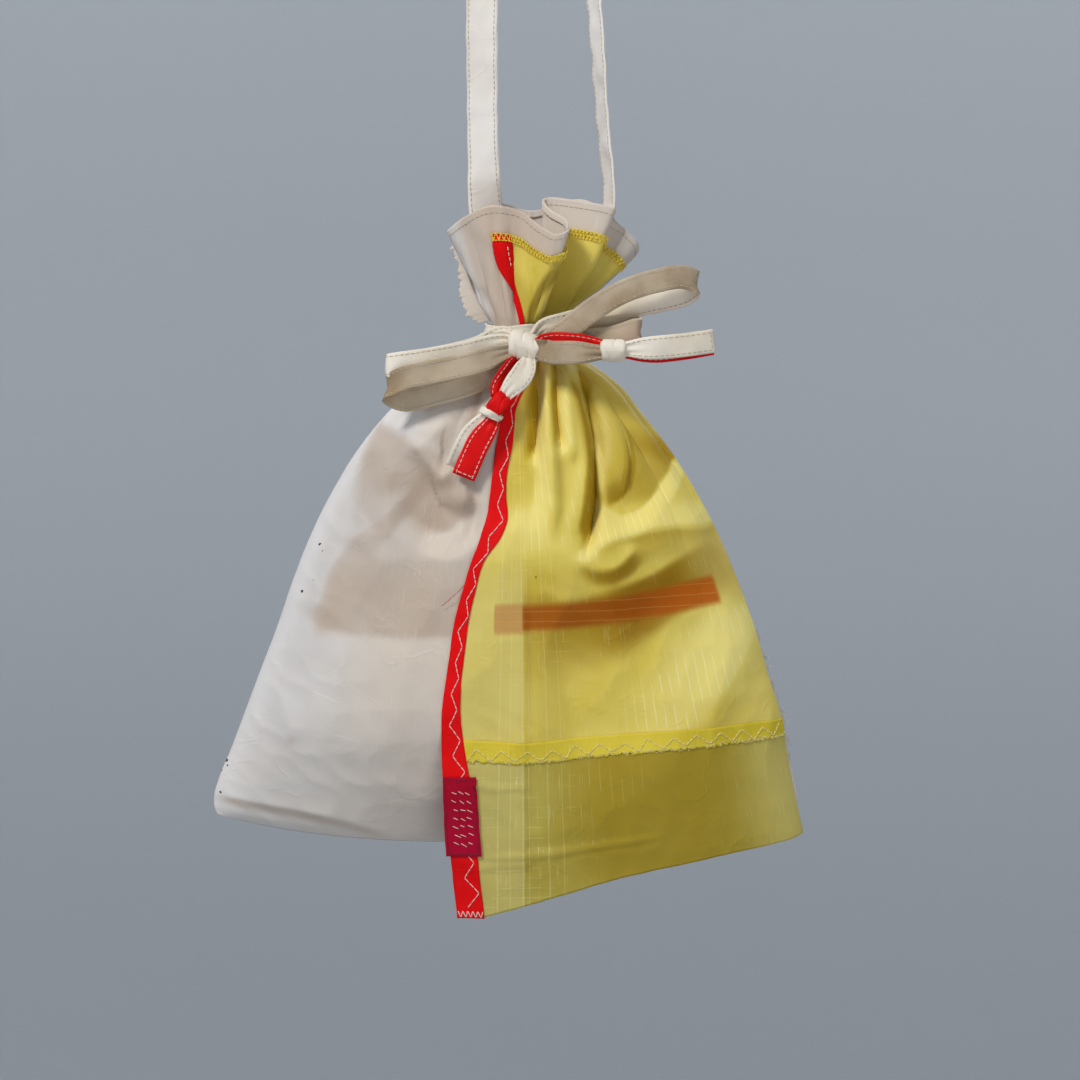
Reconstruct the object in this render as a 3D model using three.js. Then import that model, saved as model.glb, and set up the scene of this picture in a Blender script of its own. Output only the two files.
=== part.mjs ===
// Drawstring shoulder bag, hanging by its strap: a gathered white pouch with a yellow and red apron.
// Millimetres, +Z up, front towards -Y. The origin is the middle of the strap at the top of its loop.
import * as THREE from 'three';
import { ParametricGeometry } from 'three/addons/geometries/ParametricGeometry.js';
import { mergeVertices } from 'three/addons/utils/BufferGeometryUtils.js';

// Driving dimensions
const neckAcross = -10.5;
const neckHeight = -490;
const clothWall = 1;
const clothGap = 0.4;
const pleatCount = 14;
const ruffleStart = 6;
const ruffleHeight = 70;
const apronTop = -55;
const apronSide = 172;
const pouchBottom = 283;
const redBottom = 314;
const tapeWidth = 12.5;
const tapeThickness = 0.9;
const strapWidth = 18.5;
const strapThickness = 1.3;
const tapeStep = 5.5;
const strapStep = 19;
const tieHeight = 11;
const tieInnerRadius = 16.3;
const tieOuterRadius = 18;
const tieRounds = 28;
const knotRounds = 12;
const knotRings = 8;

const mergeDistance = 1e-4;
const degree = Math.PI / 180;
const mix = THREE.MathUtils.lerp;
const clamp = THREE.MathUtils.clamp;

// A table with named columns, one row for each section or fold.
function table(columns, ...rows) {
  return rows.map((row) => Object.fromEntries(columns.map((name, i) => [name, row[i]])));
}

// Half widths and depths of the pouch from the neck down. The sides sit higher than the middle by lift.
const sectionColumns = ['drop', 'left', 'right', 'front', 'back', 'edge', 'lift', 'pleat'];
const upperSections = table(
  sectionColumns,
  [-6, 13.2, 13.2, 13.2, 13.2, 1, 0, 0.5],
  [0, 12.8, 12.8, 12.8, 12.8, 1, 0, 0.5],
  [6, 13.2, 13.2, 13.2, 13.2, 1, 0, 0.5],
  [14, 30, 34, 17, 17, 1, 0, 1.2],
  [26, 53, 53, 22, 21, 1.05, 0, 2.4],
  [42, 70, 66, 28, 26, 1.1, 0, 3.4],
  [62, 86.5, 82, 33, 30, 1.15, 0, 3.4],
  [84, 100, 96.5, 37, 33, 1.2, 0, 2.8],
  [108, 112, 109.8, 41, 35, 1.2, 0, 2],
  [134, 123, 121, 44, 37, 1.25, 0, 1],
  [160, 132.3, 131, 46, 38, 1.25, 0, 0],
  [188, 142.8, 139, 47, 38, 1.25, 1, 0],
  [214, 152, 146.7, 47, 36, 1.25, 3, 0],
);
const lowerPouch = table(
  sectionColumns,
  [236, 159, 150, 43, 31, 1.25, 6, 0],
  [256, 166, 154, 34, 24, 1.25, 10, 0],
  [270, 169, 156, 22, 15, 1.25, 13, 0],
  [279, 168.5, 155, 10, 7, 1.25, 15, 0],
  [pouchBottom, 167, 153, 0, 0, 1.25, 16, 0],
);
// Below the belly the apron hangs almost straight down.
const lowerApron = table(
  sectionColumns,
  [236, 158, 151, 47, 0, 1.25, 0, 0],
  [262, 166, 156.5, 46, 0, 1.25, 0, 0],
  [290, 171, 163, 44, 0, 1.25, 0, 0],
  [318, 173, 168, 43, 0, 1.25, 0, 0],
);

// The rim of the open mouth, fold by fold round from the left tip: turn in degrees, rise above the neck.
const rimFolds = table(
  ['turn', 'across', 'depth', 'rise'],
  [0, -38, 0, 56],
  [30, -28, -15, 63],
  [58, -17, -22, 68],
  [82, -8, -24, 69],
  [100, 3, -22, 66],
  [116, 14, -27, 57],
  [126, 24, -34, 52],
  [134, 29, -30, 56],
  [142, 19, -14, 64],
  [150, 16, -4, 72],
  [160, 26, -4, 72],
  [172, 52, -16, 66],
  [186, 64, -6, 54],
  [206, 60, 10, 60],
  [232, 38, 20, 74],
  [268, 8, 22, 67],
  [298, -10, 19, 71],
  [330, -28, 16, 64],
);

// Main dents of the front: middle, half sizes and depth of each hollow, negative for a ridge.
const frontDents = table(
  ['across', 'drop', 'wide', 'tall', 'deep'],
  [-72, 62, 18, 14, -5],
  [-50, 82, 26, 20, 9],
  [-78, 148, 34, 22, 8],
  [-62, 108, 20, 10, -4],
  [38, 104, 8, 24, 8],
  [66, 118, 30, 12, -6],
  [40, 152, 40, 26, 9],
  [96, 178, 22, 34, 5],
);

// Middle and half width of the red strip in degrees of turn.
const redRoute = table(
  ['drop', 'turn', 'spread'],
  [apronTop, 79, 12],
  [-30, 84, 12],
  [0, 91, 12],
  [20, 90, 9],
  [42, 88, 6],
  [62, 86, 5],
  [84, 83.6, 4.2],
  [108, 82.5, 3.8],
  [134, 79.6, 3.4],
  [160, 78, 3],
  [188, 77.2, 2.8],
  [214, 77.2, 2.7],
  [240, 78.4, 2.6],
  [280, 80.4, 2.5],
  [redBottom, 81.6, 2.4],
);

// The seam across the yellow cloth and its lower edge, as drops along the turn.
const bandEdges = table(
  ['turn', 'seam', 'bottom'],
  [79, 221, redBottom],
  [92, 227, 304],
  [106, 225, 293.5],
  [128, 222, 284],
  [apronSide, 222, 276],
);
const labelPlace = { top: 235, bottom: 279, turn: 79.8, spread: 3.2 };

// Tape routes relative to the middle of the neck, with the roll of the broad side in degrees.
const routeColumns = ['across', 'depth', 'up', 'roll'];
const leftLoopFront = table(
  routeColumns,
  [-6, -31, -8, 0],
  [-22, -36, -14, 0],
  [-45, -37, -20, 0],
  [-62, -36, -23, 0],
  [-69, -31, -27, 0],
  [-62, -26, -33, 0],
  [-42, -27, -34, 0],
  [-20, -29, -26, 0],
  [-7, -28.5, -13, 0],
);
const leftLoopBack = table(
  routeColumns,
  [-6, -26.5, -2, 0],
  [-24, -29.5, -6, 0],
  [-46, -33, -11, 0],
  [-58, -33, -14, 0],
  [-62.5, -31, -15, 0],
  [-58, -29, -14, 0],
  [-42, -27, -10, 0],
  [-20, -22.5, -4, 0],
  [-6, -21.5, 2, 0],
);
const rightLoopFront = table(
  routeColumns,
  [13.9, -27, -4, 0],
  [26, -30.4, 3.5, 0],
  [40, -33, 16, 0],
  [56, -33.5, 26, 0],
  [74, -33, 32, 0],
  [89, -31, 33.5, 0],
  [96, -27, 28, 0],
  [90, -22.5, 20, 0],
  [68, -21, 11.5, 0],
  [44, -20, 8, 0],
  [26, -20.5, 6, 0],
  [14, -21.5, 4, 0],
);
const rightLoopBack = table(
  routeColumns,
  [14, -24, -3, 0],
  [32, -27.4, -2, 0],
  [52, -28.6, 0, 0],
  [66, -28.6, 4, 0],
  [71, -26.8, 6, 0],
  [66, -25, 7, 0],
  [48, -24, 5, 0],
  [30, -23.2, 2, 0],
);
const rightTail = table(
  routeColumns,
  [44.2, -36, -5, 0],
  [30, -34, -4, 0],
  [18, -32.4, -4, 0],
  [12.4, -33.4, -6, 0],
  [18, -36, -8, 0],
  [30, -38.2, -8, 0],
  [44.2, -38.6, -8, 0],
);
const rightEndWhite = table(
  routeColumns,
  [59, -39, -7, 0],
  [76, -40.5, -7, 0],
  [92, -40, -6, 0],
  [105, -38.5, -4.5, 0],
);
const rightEndRed = table(
  routeColumns,
  [59, -36.5, -8, 0],
  [76, -38, -9, 0],
  [92, -37.6, -8.5, 0],
  [104, -36.2, -7, 0],
);
const leftTailRed = table(
  routeColumns,
  [2, -31, -15, 90],
  [-3.6, -36, -21, 90],
  [-8.5, -38.6, -27.2, 90],
);
const leftTailWhite = table(
  routeColumns,
  [6.5, -26.8, -15.3, 90],
  [3.6, -31.5, -22, 90],
  [-3, -35.6, -28, 90],
);
const leftEndRed = table(
  routeColumns,
  [-12.5, -40.6, -44.4, 90],
  [-20, -41.6, -56, 90],
  [-28, -40.6, -74, 90],
);
const leftEndWhite = table(
  routeColumns,
  [-16.5, -39, -43.6, 90],
  [-24, -39.8, -54, 90],
  [-31, -39, -69, 90],
);
const [bowKnot, leftTailKnot, rightTailKnot] = table(
  ['across', 'depth', 'up', 'halfAcross', 'halfDepth', 'halfUp'],
  [4.5, -25.5, -5.5, 9.5, 7.5, 8],
  [-10, -39, -36, 7.5, 6, 8],
  [51.5, -37.5, -7, 7, 5.5, 6],
);

// The strap from the left side of the mouth, over the top and down to the right side, from the origin.
const strapRoute = table(
  routeColumns,
  [-26, 8, -450, 126],
  [-27, 12, -430, 104],
  [-28.4, 9, -400, 90],
  [-29, 3, -320, 90],
  [-27, 0, -220, 90],
  [-24, 0, -120, 45],
  [-20.6, 0, -22, 0],
  [-14.6, 0, -6.6, 0],
  [0, 0, 0, 0],
  [14.6, 0, -6.6, 0],
  [20.6, 0, -22, 0],
  [25, 0, -120, -12],
  [28, 0, -220, -25],
  [32, 0, -320, -25],
  [36.5, 2, -380, -25],
  [39.5, 2, -420, -25],
  [31.6, 2, -440, -22],
);

// A function that gives every column of a table, smoothly, at a value of one column.
function columnsBy(rows, key) {
  const names = Object.keys(rows[0]);
  const places = rows.map((row) => row[key]);
  const values = rows.flatMap((row) => names.map((name) => row[name]));
  const smooth = new THREE.CubicInterpolant(places, values, names.length, new Float64Array(names.length));
  return (place) => {
    const found = smooth.evaluate(place);
    return Object.fromEntries(names.map((name, i) => [name, found[i]]));
  };
}

const pouchAt = columnsBy([...upperSections, ...lowerPouch], 'drop');
const apronAt = columnsBy([...upperSections, ...lowerApron], 'drop');
const redAt = columnsBy(redRoute, 'drop');
const bandAt = columnsBy(bandEdges, 'turn');
const wrapRow = (row, turns) => ({ ...row, turn: row.turn + turns * 360 });
const rimAt = columnsBy(
  [wrapRow(rimFolds.at(-1), -1), ...rimFolds, wrapRow(rimFolds[0], 1), wrapRow(rimFolds[1], 1)],
  'turn',
);

// How far the dents push the front in at a place.
function dentAt(across, drop) {
  const push = (dent) => {
    const beside = (across - dent.across) / dent.wide;
    const along = (drop - dent.drop) / dent.tall;
    return dent.deep * Math.exp(-(beside ** 2) - along ** 2);
  };
  return frontDents.reduce((sum, dent) => sum + push(dent), 0);
}

// A point of the body's outer face. Turn 0 is the left side, 90 the front and 180 the right side.
function bodyPoint(sectionAt, turn, drop) {
  const section = sectionAt(drop);
  const across = -Math.cos(turn * degree);
  const forward = Math.sin(turn * degree);
  const pleat = section.pleat * Math.cos(pleatCount * turn * degree);
  const width = (across < 0 ? section.left : section.right) + pleat;
  const depth = (forward > 0 ? section.front : section.back) + pleat;
  const belly = depth * Math.abs(forward) ** section.edge;
  const x = across * width;
  const dent = forward > 0 ? dentAt(x, drop) * forward : 0;
  return new THREE.Vector3(
    x,
    -Math.sign(forward) * belly + dent,
    -drop + section.lift * Math.abs(across) ** 3,
  );
}

// A point of the whole outer face: the ruffle opens from the neck to the rim above it.
function facePoint(sectionAt, turn, drop) {
  if (drop >= -ruffleStart) return bodyPoint(sectionAt, turn, drop);
  const open = (-drop - ruffleStart) / (ruffleHeight - ruffleStart);
  const fold = rimAt(((turn % 360) + 360) % 360);
  const rim = new THREE.Vector3(fold.across, fold.depth, fold.rise);
  return bodyPoint(sectionAt, turn, -ruffleStart).lerp(rim, open);
}

// A point that lies a height above the outer face, along the face's normal.
function raisedPoint(sectionAt, turn, drop, height) {
  const turnStep = 0.5;
  const dropStep = 0.5;
  const here = facePoint(sectionAt, turn, drop);
  const along = facePoint(sectionAt, turn + turnStep, drop).sub(facePoint(sectionAt, turn - turnStep, drop));
  const down = facePoint(sectionAt, turn, drop + dropStep).sub(facePoint(sectionAt, turn, drop - dropStep));
  const normal = down.cross(along).normalize();
  return here.addScaledVector(normal, height);
}

// Triangles of a grid of points, each quad split along its shorter diagonal. Collapsed ones are dropped.
function gridTriangles(surface, slices, stacks) {
  const places = surface.attributes.position;
  const point = (i) => new THREE.Vector3().fromBufferAttribute(places, i);
  const span = (i, j) => point(i).distanceTo(point(j));
  const triangles = [];
  for (let stack = 0; stack < stacks; stack += 1) {
    for (let slice = 0; slice < slices; slice += 1) {
      const a = stack * (slices + 1) + slice;
      const b = a + 1;
      const d = a + slices + 1;
      const c = d + 1;
      const split = span(a, c) < span(b, d) ? [[a, b, c], [a, c, d]] : [[a, b, d], [b, c, d]];
      triangles.push(...split);
    }
  }
  const whole = ([a, b, c]) => Math.min(span(a, b), span(b, c), span(c, a)) > mergeDistance;
  return triangles.filter(whole).flat();
}

// A closed surface from a function of two shares, with its seams merged.
function closedSurface(pointAt, slices, stacks) {
  const surface = new ParametricGeometry((u, v, target) => target.copy(pointAt(u, v)), slices, stacks);
  surface.deleteAttribute('normal');
  surface.deleteAttribute('uv');
  surface.setIndex(gridTriangles(surface, slices, stacks));
  const merged = mergeVertices(surface, mergeDistance);
  merged.computeVertexNormals();
  return merged;
}

// The cloth's columns follow the red strip: white front, red strip, yellow front and white back.
const whiteColumns = 14;
const redColumns = 2;
const yellowColumns = 16;
const backColumns = 26;
const redStart = whiteColumns;
const yellowStart = redStart + redColumns;
const yellowEnd = yellowStart + yellowColumns;
const allColumns = yellowEnd + backColumns;

// The cloth's rows, from the bottom up.
const dropsUp = (sections) => sections.map((section) => section.drop).toReversed();
const bellyDrops = dropsUp(lowerPouch.slice(0, -1));
const hangingDrops = [redBottom, ...dropsUp(lowerApron.slice(0, -1))];
const bodyDrops = dropsUp(upperSections);
const ruffleDrops = [-16, -28, -42, apronTop];

// The turn of a column at a drop.
function columnTurn(column, drop) {
  const { turn, spread } = redAt(drop);
  const keys = [
    [0, 0],
    [redStart, turn - spread],
    [yellowStart, turn + spread],
    [yellowEnd, apronSide],
    [allColumns, 360],
  ];
  const next = Math.max(1, keys.findIndex(([key]) => key >= column));
  const [fromColumn, fromTurn] = keys[next - 1];
  const [toColumn, toTurn] = keys[next];
  return mix(fromTurn, toTurn, (column - fromColumn) / (toColumn - fromColumn));
}

// The pouch wall: up the outer face from the bottom seam, over the rim and down the inner face.
function pouchWall() {
  const innerBottom = pouchBottom - 8;
  const innerSeam = pouchBottom - 3;
  const drops = [...bellyDrops, ...bodyDrops, ...ruffleDrops, -ruffleHeight];
  const rows = [
    { drop: pouchBottom, height: 0, seam: true },
    ...drops.map((drop) => ({ drop, height: 0 })),
    ...drops.toReversed().map((drop) => ({ drop: Math.min(drop, innerBottom), height: -clothWall })),
    { drop: innerSeam, height: 0, seam: true },
  ];
  const stacks = rows.length - 1;
  return closedSurface((u, v) => {
    const { drop, height, seam } = rows[Math.round(v * stacks)];
    const column = Math.round(u * allColumns) % allColumns;
    const turn = seam ? 360 * column / allColumns : columnTurn(column, drop);
    const point = raisedPoint(pouchAt, turn, drop, height);
    return seam ? point.setY(0) : point;
  }, allColumns, stacks);
}

// A flat piece of cloth on the face, its rows listed from the bottom up.
function clothPiece({ columns, rows, turnAt, dropAt, height }) {
  const stacks = rows.length + 1;
  const slices = 2 * columns + 2;
  return closedSurface((u, v) => {
    const step = Math.round(u * slices) % slices;
    const outer = step <= columns;
    const column = outer ? step : slices - 1 - step;
    const line = Math.round(v * stacks);
    const edge = line === 0 || line === stacks;
    const drop = dropAt(rows[clamp(line - 1, 0, rows.length - 1)], column);
    const level = edge ? 0.5 : Number(outer);
    return raisedPoint(apronAt, turnAt(column, drop), drop, height + clothWall * level);
  }, slices, stacks);
}

const yellowTurn = (column, drop) => {
  const gap = column === 0 ? clothGap / apronAt(drop).right / degree : 0;
  return columnTurn(yellowStart + column, drop) + gap;
};
const bandAtColumn = (column) => bandAt(mix(bandEdges[0].turn, apronSide, column / yellowColumns));

function yellowPanel() {
  return clothPiece({
    columns: yellowColumns,
    rows: ['seam', ...bodyDrops, ...ruffleDrops],
    turnAt: yellowTurn,
    dropAt: (row, column) => (row === 'seam' ? bandAtColumn(column).seam : row),
    height: clothGap,
  });
}

function yellowBand() {
  return clothPiece({
    columns: yellowColumns,
    rows: [1, 0.75, 0.5, 0.25, 0],
    turnAt: yellowTurn,
    dropAt: (share, column) => {
      const { seam, bottom } = bandAtColumn(column);
      return mix(seam + clothGap, bottom, share);
    },
    height: clothGap,
  });
}

function redStrip() {
  return clothPiece({
    columns: redColumns,
    rows: [...hangingDrops, ...bodyDrops, ...ruffleDrops],
    turnAt: (column, drop) => columnTurn(redStart + column, drop),
    dropAt: (drop) => drop,
    height: clothGap,
  });
}

function labelPatch() {
  const { top, bottom, turn, spread } = labelPlace;
  const columns = 2;
  return clothPiece({
    columns,
    rows: [1, 2 / 3, 1 / 3, 0],
    turnAt: (column) => turn + mix(-spread, spread, column / columns),
    dropAt: (share) => mix(top, bottom, share),
    height: 2 * clothGap + clothWall,
  });
}

// A flat tape along a route. Its broad side starts along the given axis and turns by the rows' roll.
function tape({ route, broad, width, thickness, step }) {
  const points = route.map((row) => new THREE.Vector3(row.across, row.depth, row.up));
  const path = new THREE.CatmullRomCurve3(points, false, 'centripetal');
  const rollAt = (t) => {
    const place = t * (route.length - 1);
    const start = Math.min(Math.floor(place), route.length - 2);
    return mix(route[start].roll, route[start + 1].roll, place - start) * degree;
  };
  const corners = [[-1, -1], [1, -1], [1, 1], [-1, 1], [-1, -1]];
  const steps = Math.ceil(path.getLength() / step);
  const slices = corners.length - 1;
  const stacks = steps + 2;
  return closedSurface((u, v) => {
    const line = Math.round(v * stacks);
    const t = clamp((line - 1) / steps, 0, 1);
    const flat = line === 0 || line === stacks;
    const tangent = path.getTangent(t);
    const side = broad.clone().addScaledVector(tangent, -broad.dot(tangent)).normalize();
    side.applyAxisAngle(tangent, rollAt(t));
    const face = new THREE.Vector3().crossVectors(tangent, side);
    const [across, through] = corners[Math.round(u * slices)];
    return path.getPoint(t)
      .addScaledVector(side, across * width / 2)
      .addScaledVector(face, flat ? 0 : through * thickness / 2);
  }, slices, stacks);
}

const upright = new THREE.Vector3(0, 0, 1);
const sideways = new THREE.Vector3(0, 1, 0);

// The tape round the neck.
function neckTie() {
  const profile = [
    new THREE.Vector2(tieInnerRadius, -tieHeight / 2),
    new THREE.Vector2(tieOuterRadius, -tieHeight / 2),
    new THREE.Vector2(tieOuterRadius, tieHeight / 2),
    new THREE.Vector2(tieInnerRadius, tieHeight / 2),
    new THREE.Vector2(tieInnerRadius, -tieHeight / 2),
  ];
  return new THREE.LatheGeometry(profile, tieRounds).rotateX(Math.PI / 2);
}

// A pulled-tight knot as a rounded lump.
function knotLump({ halfAcross, halfDepth, halfUp }) {
  return new THREE.SphereGeometry(1, knotRounds, knotRings).scale(halfAcross, halfDepth, halfUp);
}

const finishes = {
  white: { color: 0xdcdcde, roughness: 0.55 },
  cream: { color: 0xd8d0c4, roughness: 0.6 },
  yellow: { color: 0xc8b650, roughness: 0.5 },
  red: { color: 0xdf1218, roughness: 0.5 },
  magenta: { color: 0x96084a, roughness: 0.6 },
};

const bag = new THREE.Group();
const body = new THREE.Group();
body.position.set(neckAcross, 0, neckHeight);
bag.add(body);

function addPiece(parent, name, geometry, finish) {
  const material = new THREE.MeshStandardMaterial({ ...finishes[finish], metalness: 0 });
  const mesh = new THREE.Mesh(geometry, material);
  mesh.name = name;
  parent.add(mesh);
  return mesh;
}

function addTape(name, route, broad, finish) {
  const geometry = tape({ route, broad, width: tapeWidth, thickness: tapeThickness, step: tapeStep });
  addPiece(body, name, geometry, finish);
}

function addKnot(name, place, finish) {
  addPiece(body, name, knotLump(place), finish).position.set(place.across, place.depth, place.up);
}

addPiece(body, 'pouch', pouchWall(), 'white');
addPiece(body, 'yellow_panel', yellowPanel(), 'yellow');
addPiece(body, 'yellow_band', yellowBand(), 'yellow');
addPiece(body, 'red_strip', redStrip(), 'red');
addPiece(body, 'label_patch', labelPatch(), 'magenta');
addPiece(body, 'neck_tie', neckTie(), 'cream');
addKnot('bow_knot', bowKnot, 'cream');
addTape('left_loop_front', leftLoopFront, upright, 'cream');
addTape('left_loop_back', leftLoopBack, upright, 'cream');
addTape('right_loop_front', rightLoopFront, upright, 'cream');
addTape('right_loop_back', rightLoopBack, upright, 'cream');
addTape('right_tail', rightTail, upright, 'cream');
addKnot('right_tail_knot', rightTailKnot, 'cream');
addTape('right_end_white', rightEndWhite, upright, 'cream');
addTape('right_end_red', rightEndRed, upright, 'red');
addTape('left_tail_red', leftTailRed, sideways, 'red');
addTape('left_tail_white', leftTailWhite, sideways, 'cream');
addKnot('left_tail_knot', leftTailKnot, 'red');
addTape('left_end_red', leftEndRed, sideways, 'red');
addTape('left_end_white', leftEndWhite, sideways, 'cream');
addPiece(bag, 'shoulder_strap', tape({
  route: strapRoute,
  broad: sideways,
  width: strapWidth,
  thickness: strapThickness,
  step: strapStep,
}), 'white');

export default bag;
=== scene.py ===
import math

import bmesh
import bpy
import numpy as np
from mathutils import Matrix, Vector


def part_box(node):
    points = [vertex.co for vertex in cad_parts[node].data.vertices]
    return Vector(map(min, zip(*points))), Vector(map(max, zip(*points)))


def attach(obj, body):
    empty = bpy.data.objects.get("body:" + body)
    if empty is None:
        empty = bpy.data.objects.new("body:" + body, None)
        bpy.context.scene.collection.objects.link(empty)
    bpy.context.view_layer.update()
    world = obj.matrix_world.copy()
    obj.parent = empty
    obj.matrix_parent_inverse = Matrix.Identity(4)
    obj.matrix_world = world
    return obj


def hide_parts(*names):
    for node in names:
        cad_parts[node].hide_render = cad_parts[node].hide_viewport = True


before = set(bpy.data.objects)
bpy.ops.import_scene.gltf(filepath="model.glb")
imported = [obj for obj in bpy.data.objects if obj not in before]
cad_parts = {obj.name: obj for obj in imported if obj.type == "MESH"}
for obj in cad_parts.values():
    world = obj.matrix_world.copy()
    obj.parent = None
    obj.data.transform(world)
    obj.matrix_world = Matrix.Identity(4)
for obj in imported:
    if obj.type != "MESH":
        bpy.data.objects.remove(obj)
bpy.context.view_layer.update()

# Sizes are millimetres until a mesh is made. The pouch, its apron and the bow are measured from the neck.
MM = 0.001
TIE_LOW, TIE_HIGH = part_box("neck_tie")
NECK = np.array(TIE_LOW + TIE_HIGH) / 2 / MM
ORIGIN = np.zeros(3)

RUFFLE_START = 6
RUFFLE_HEIGHT = 70
APRON_TOP = -55
APRON_SIDE = 172
POUCH_BOTTOM = 283
RED_BOTTOM = 314
PLEATS = 14
PANEL_HALF = 150
CLOTH = 0.5
LAYER = 0.9
RED_LIFT = 1.6
LABEL_LIFT = RED_LIFT + LAYER
TAPE_WIDTH = 12.5
TAPE_THICKNESS = 0.9
STRAP_WIDTH = 18.5
STRAP_THICKNESS = 1.3
STITCH_PITCH = 2.9
HEM = 4.2
HEM_STITCH_IN = 0.5
THIN_CLOTH = 0.35

# Half widths and depths of the pouch: drop, left, right, front, back, edge, lift, pleat.
UPPER_SECTIONS = [
    (-6, 13.2, 13.2, 13.2, 13.2, 1, 0, 0.5),
    (0, 12.8, 12.8, 12.8, 12.8, 1, 0, 0.5),
    (6, 13.2, 13.2, 13.2, 13.2, 1, 0, 0.5),
    (14, 30, 34, 17, 17, 1, 0, 1.2),
    (26, 53, 53, 22, 21, 1.05, 0, 2.4),
    (42, 70, 66.8, 28, 26, 1.1, 0, 3.0),
    (62, 86.5, 82.6, 33, 30, 1.15, 0, 2.6),
    (84, 100.3, 96.8, 37, 33, 1.2, 0, 1.8),
    (108, 112.6, 109.8, 41, 35, 1.2, 0, 1),
    (134, 123.2, 121.2, 44, 37, 1.25, 0, 0.4),
    (160, 132.3, 131, 46, 38, 1.25, 0, 0),
    (188, 142.8, 139, 46.5, 38, 1.25, 1, 0),
    (214, 152, 146.7, 45.5, 36, 1.25, 3, 0),
]
POUCH_SECTIONS = UPPER_SECTIONS + [
    (236, 159.3, 150.5, 37, 31, 1.25, 6, 0),
    (256, 166, 154, 26, 24, 1.25, 10, 0),
    (270, 169, 156, 16, 15, 1.25, 13, 0),
    (279, 168.5, 155, 7.5, 7, 1.25, 15, 0),
    (POUCH_BOTTOM, 167, 153, 0, 0, 1.25, 16, 0),
]
APRON_SECTIONS = UPPER_SECTIONS + [
    (236, 158, 151, 47, 0, 1.25, 0, 0),
    (262, 166, 156.5, 46, 0, 1.25, 0, 0),
    (290, 171, 163, 44, 0, 1.25, 0, 0),
    (318, 173, 168, 43, 0, 1.25, 0, 0),
]

# The rim of the open mouth, fold by fold: turn, across, depth, rise.
RIM_FOLDS = [
    (0, -38, 0, 56),
    (30, -28, -15, 63),
    (58, -17, -22, 68.5),
    (82, -8, -24, 69),
    (100, 3, -22, 66),
    (114, 13, -26, 58),
    (123, 22, -32, 54),
    (129, 28.5, -32, 57),
    (134, 27, -24, 62),
    (140, 19, -13, 67),
    (146, 15, -6, 72),
    (151, 18, -3, 74),
    (158, 34, -9, 72),
    (165, 50, -15, 69),
    (169, 53.5, -14, 67),
    (173, 51, -7, 63),
    (180, 59, -5, 57),
    (187, 65.5, -3, 50),
    (195, 66, 3, 44),
    (208, 60, 11, 55),
    (232, 40, 20, 72),
    (268, 8, 22, 67),
    (298, -10, 19, 71),
    (330, -28, 16, 64),
]

# Soft dents of the front: across, drop, wide, tall, deep. Ridges are negative.
DENTS = [
    (-72, 96, 26, 14, -2),
    (-80, 142, 30, 18, 3),
    (39.5, 95, 5.5, 15, 6),
    (70, 62, 16, 20, -1.5),
    (14, 116, 34, 20, -4),
    (100, 178, 24, 30, -4),
    (-100, 210, 50, 40, -3),
    (60, 200, 60, 24, -2),
]

# How a crease falls away from its spine: evenly, sharply at the spine, or rounded and steepest far off.
EVEN = (1, 1.3)
CRISP = (1, 2)
ROUND = (2, 1.5)

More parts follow.
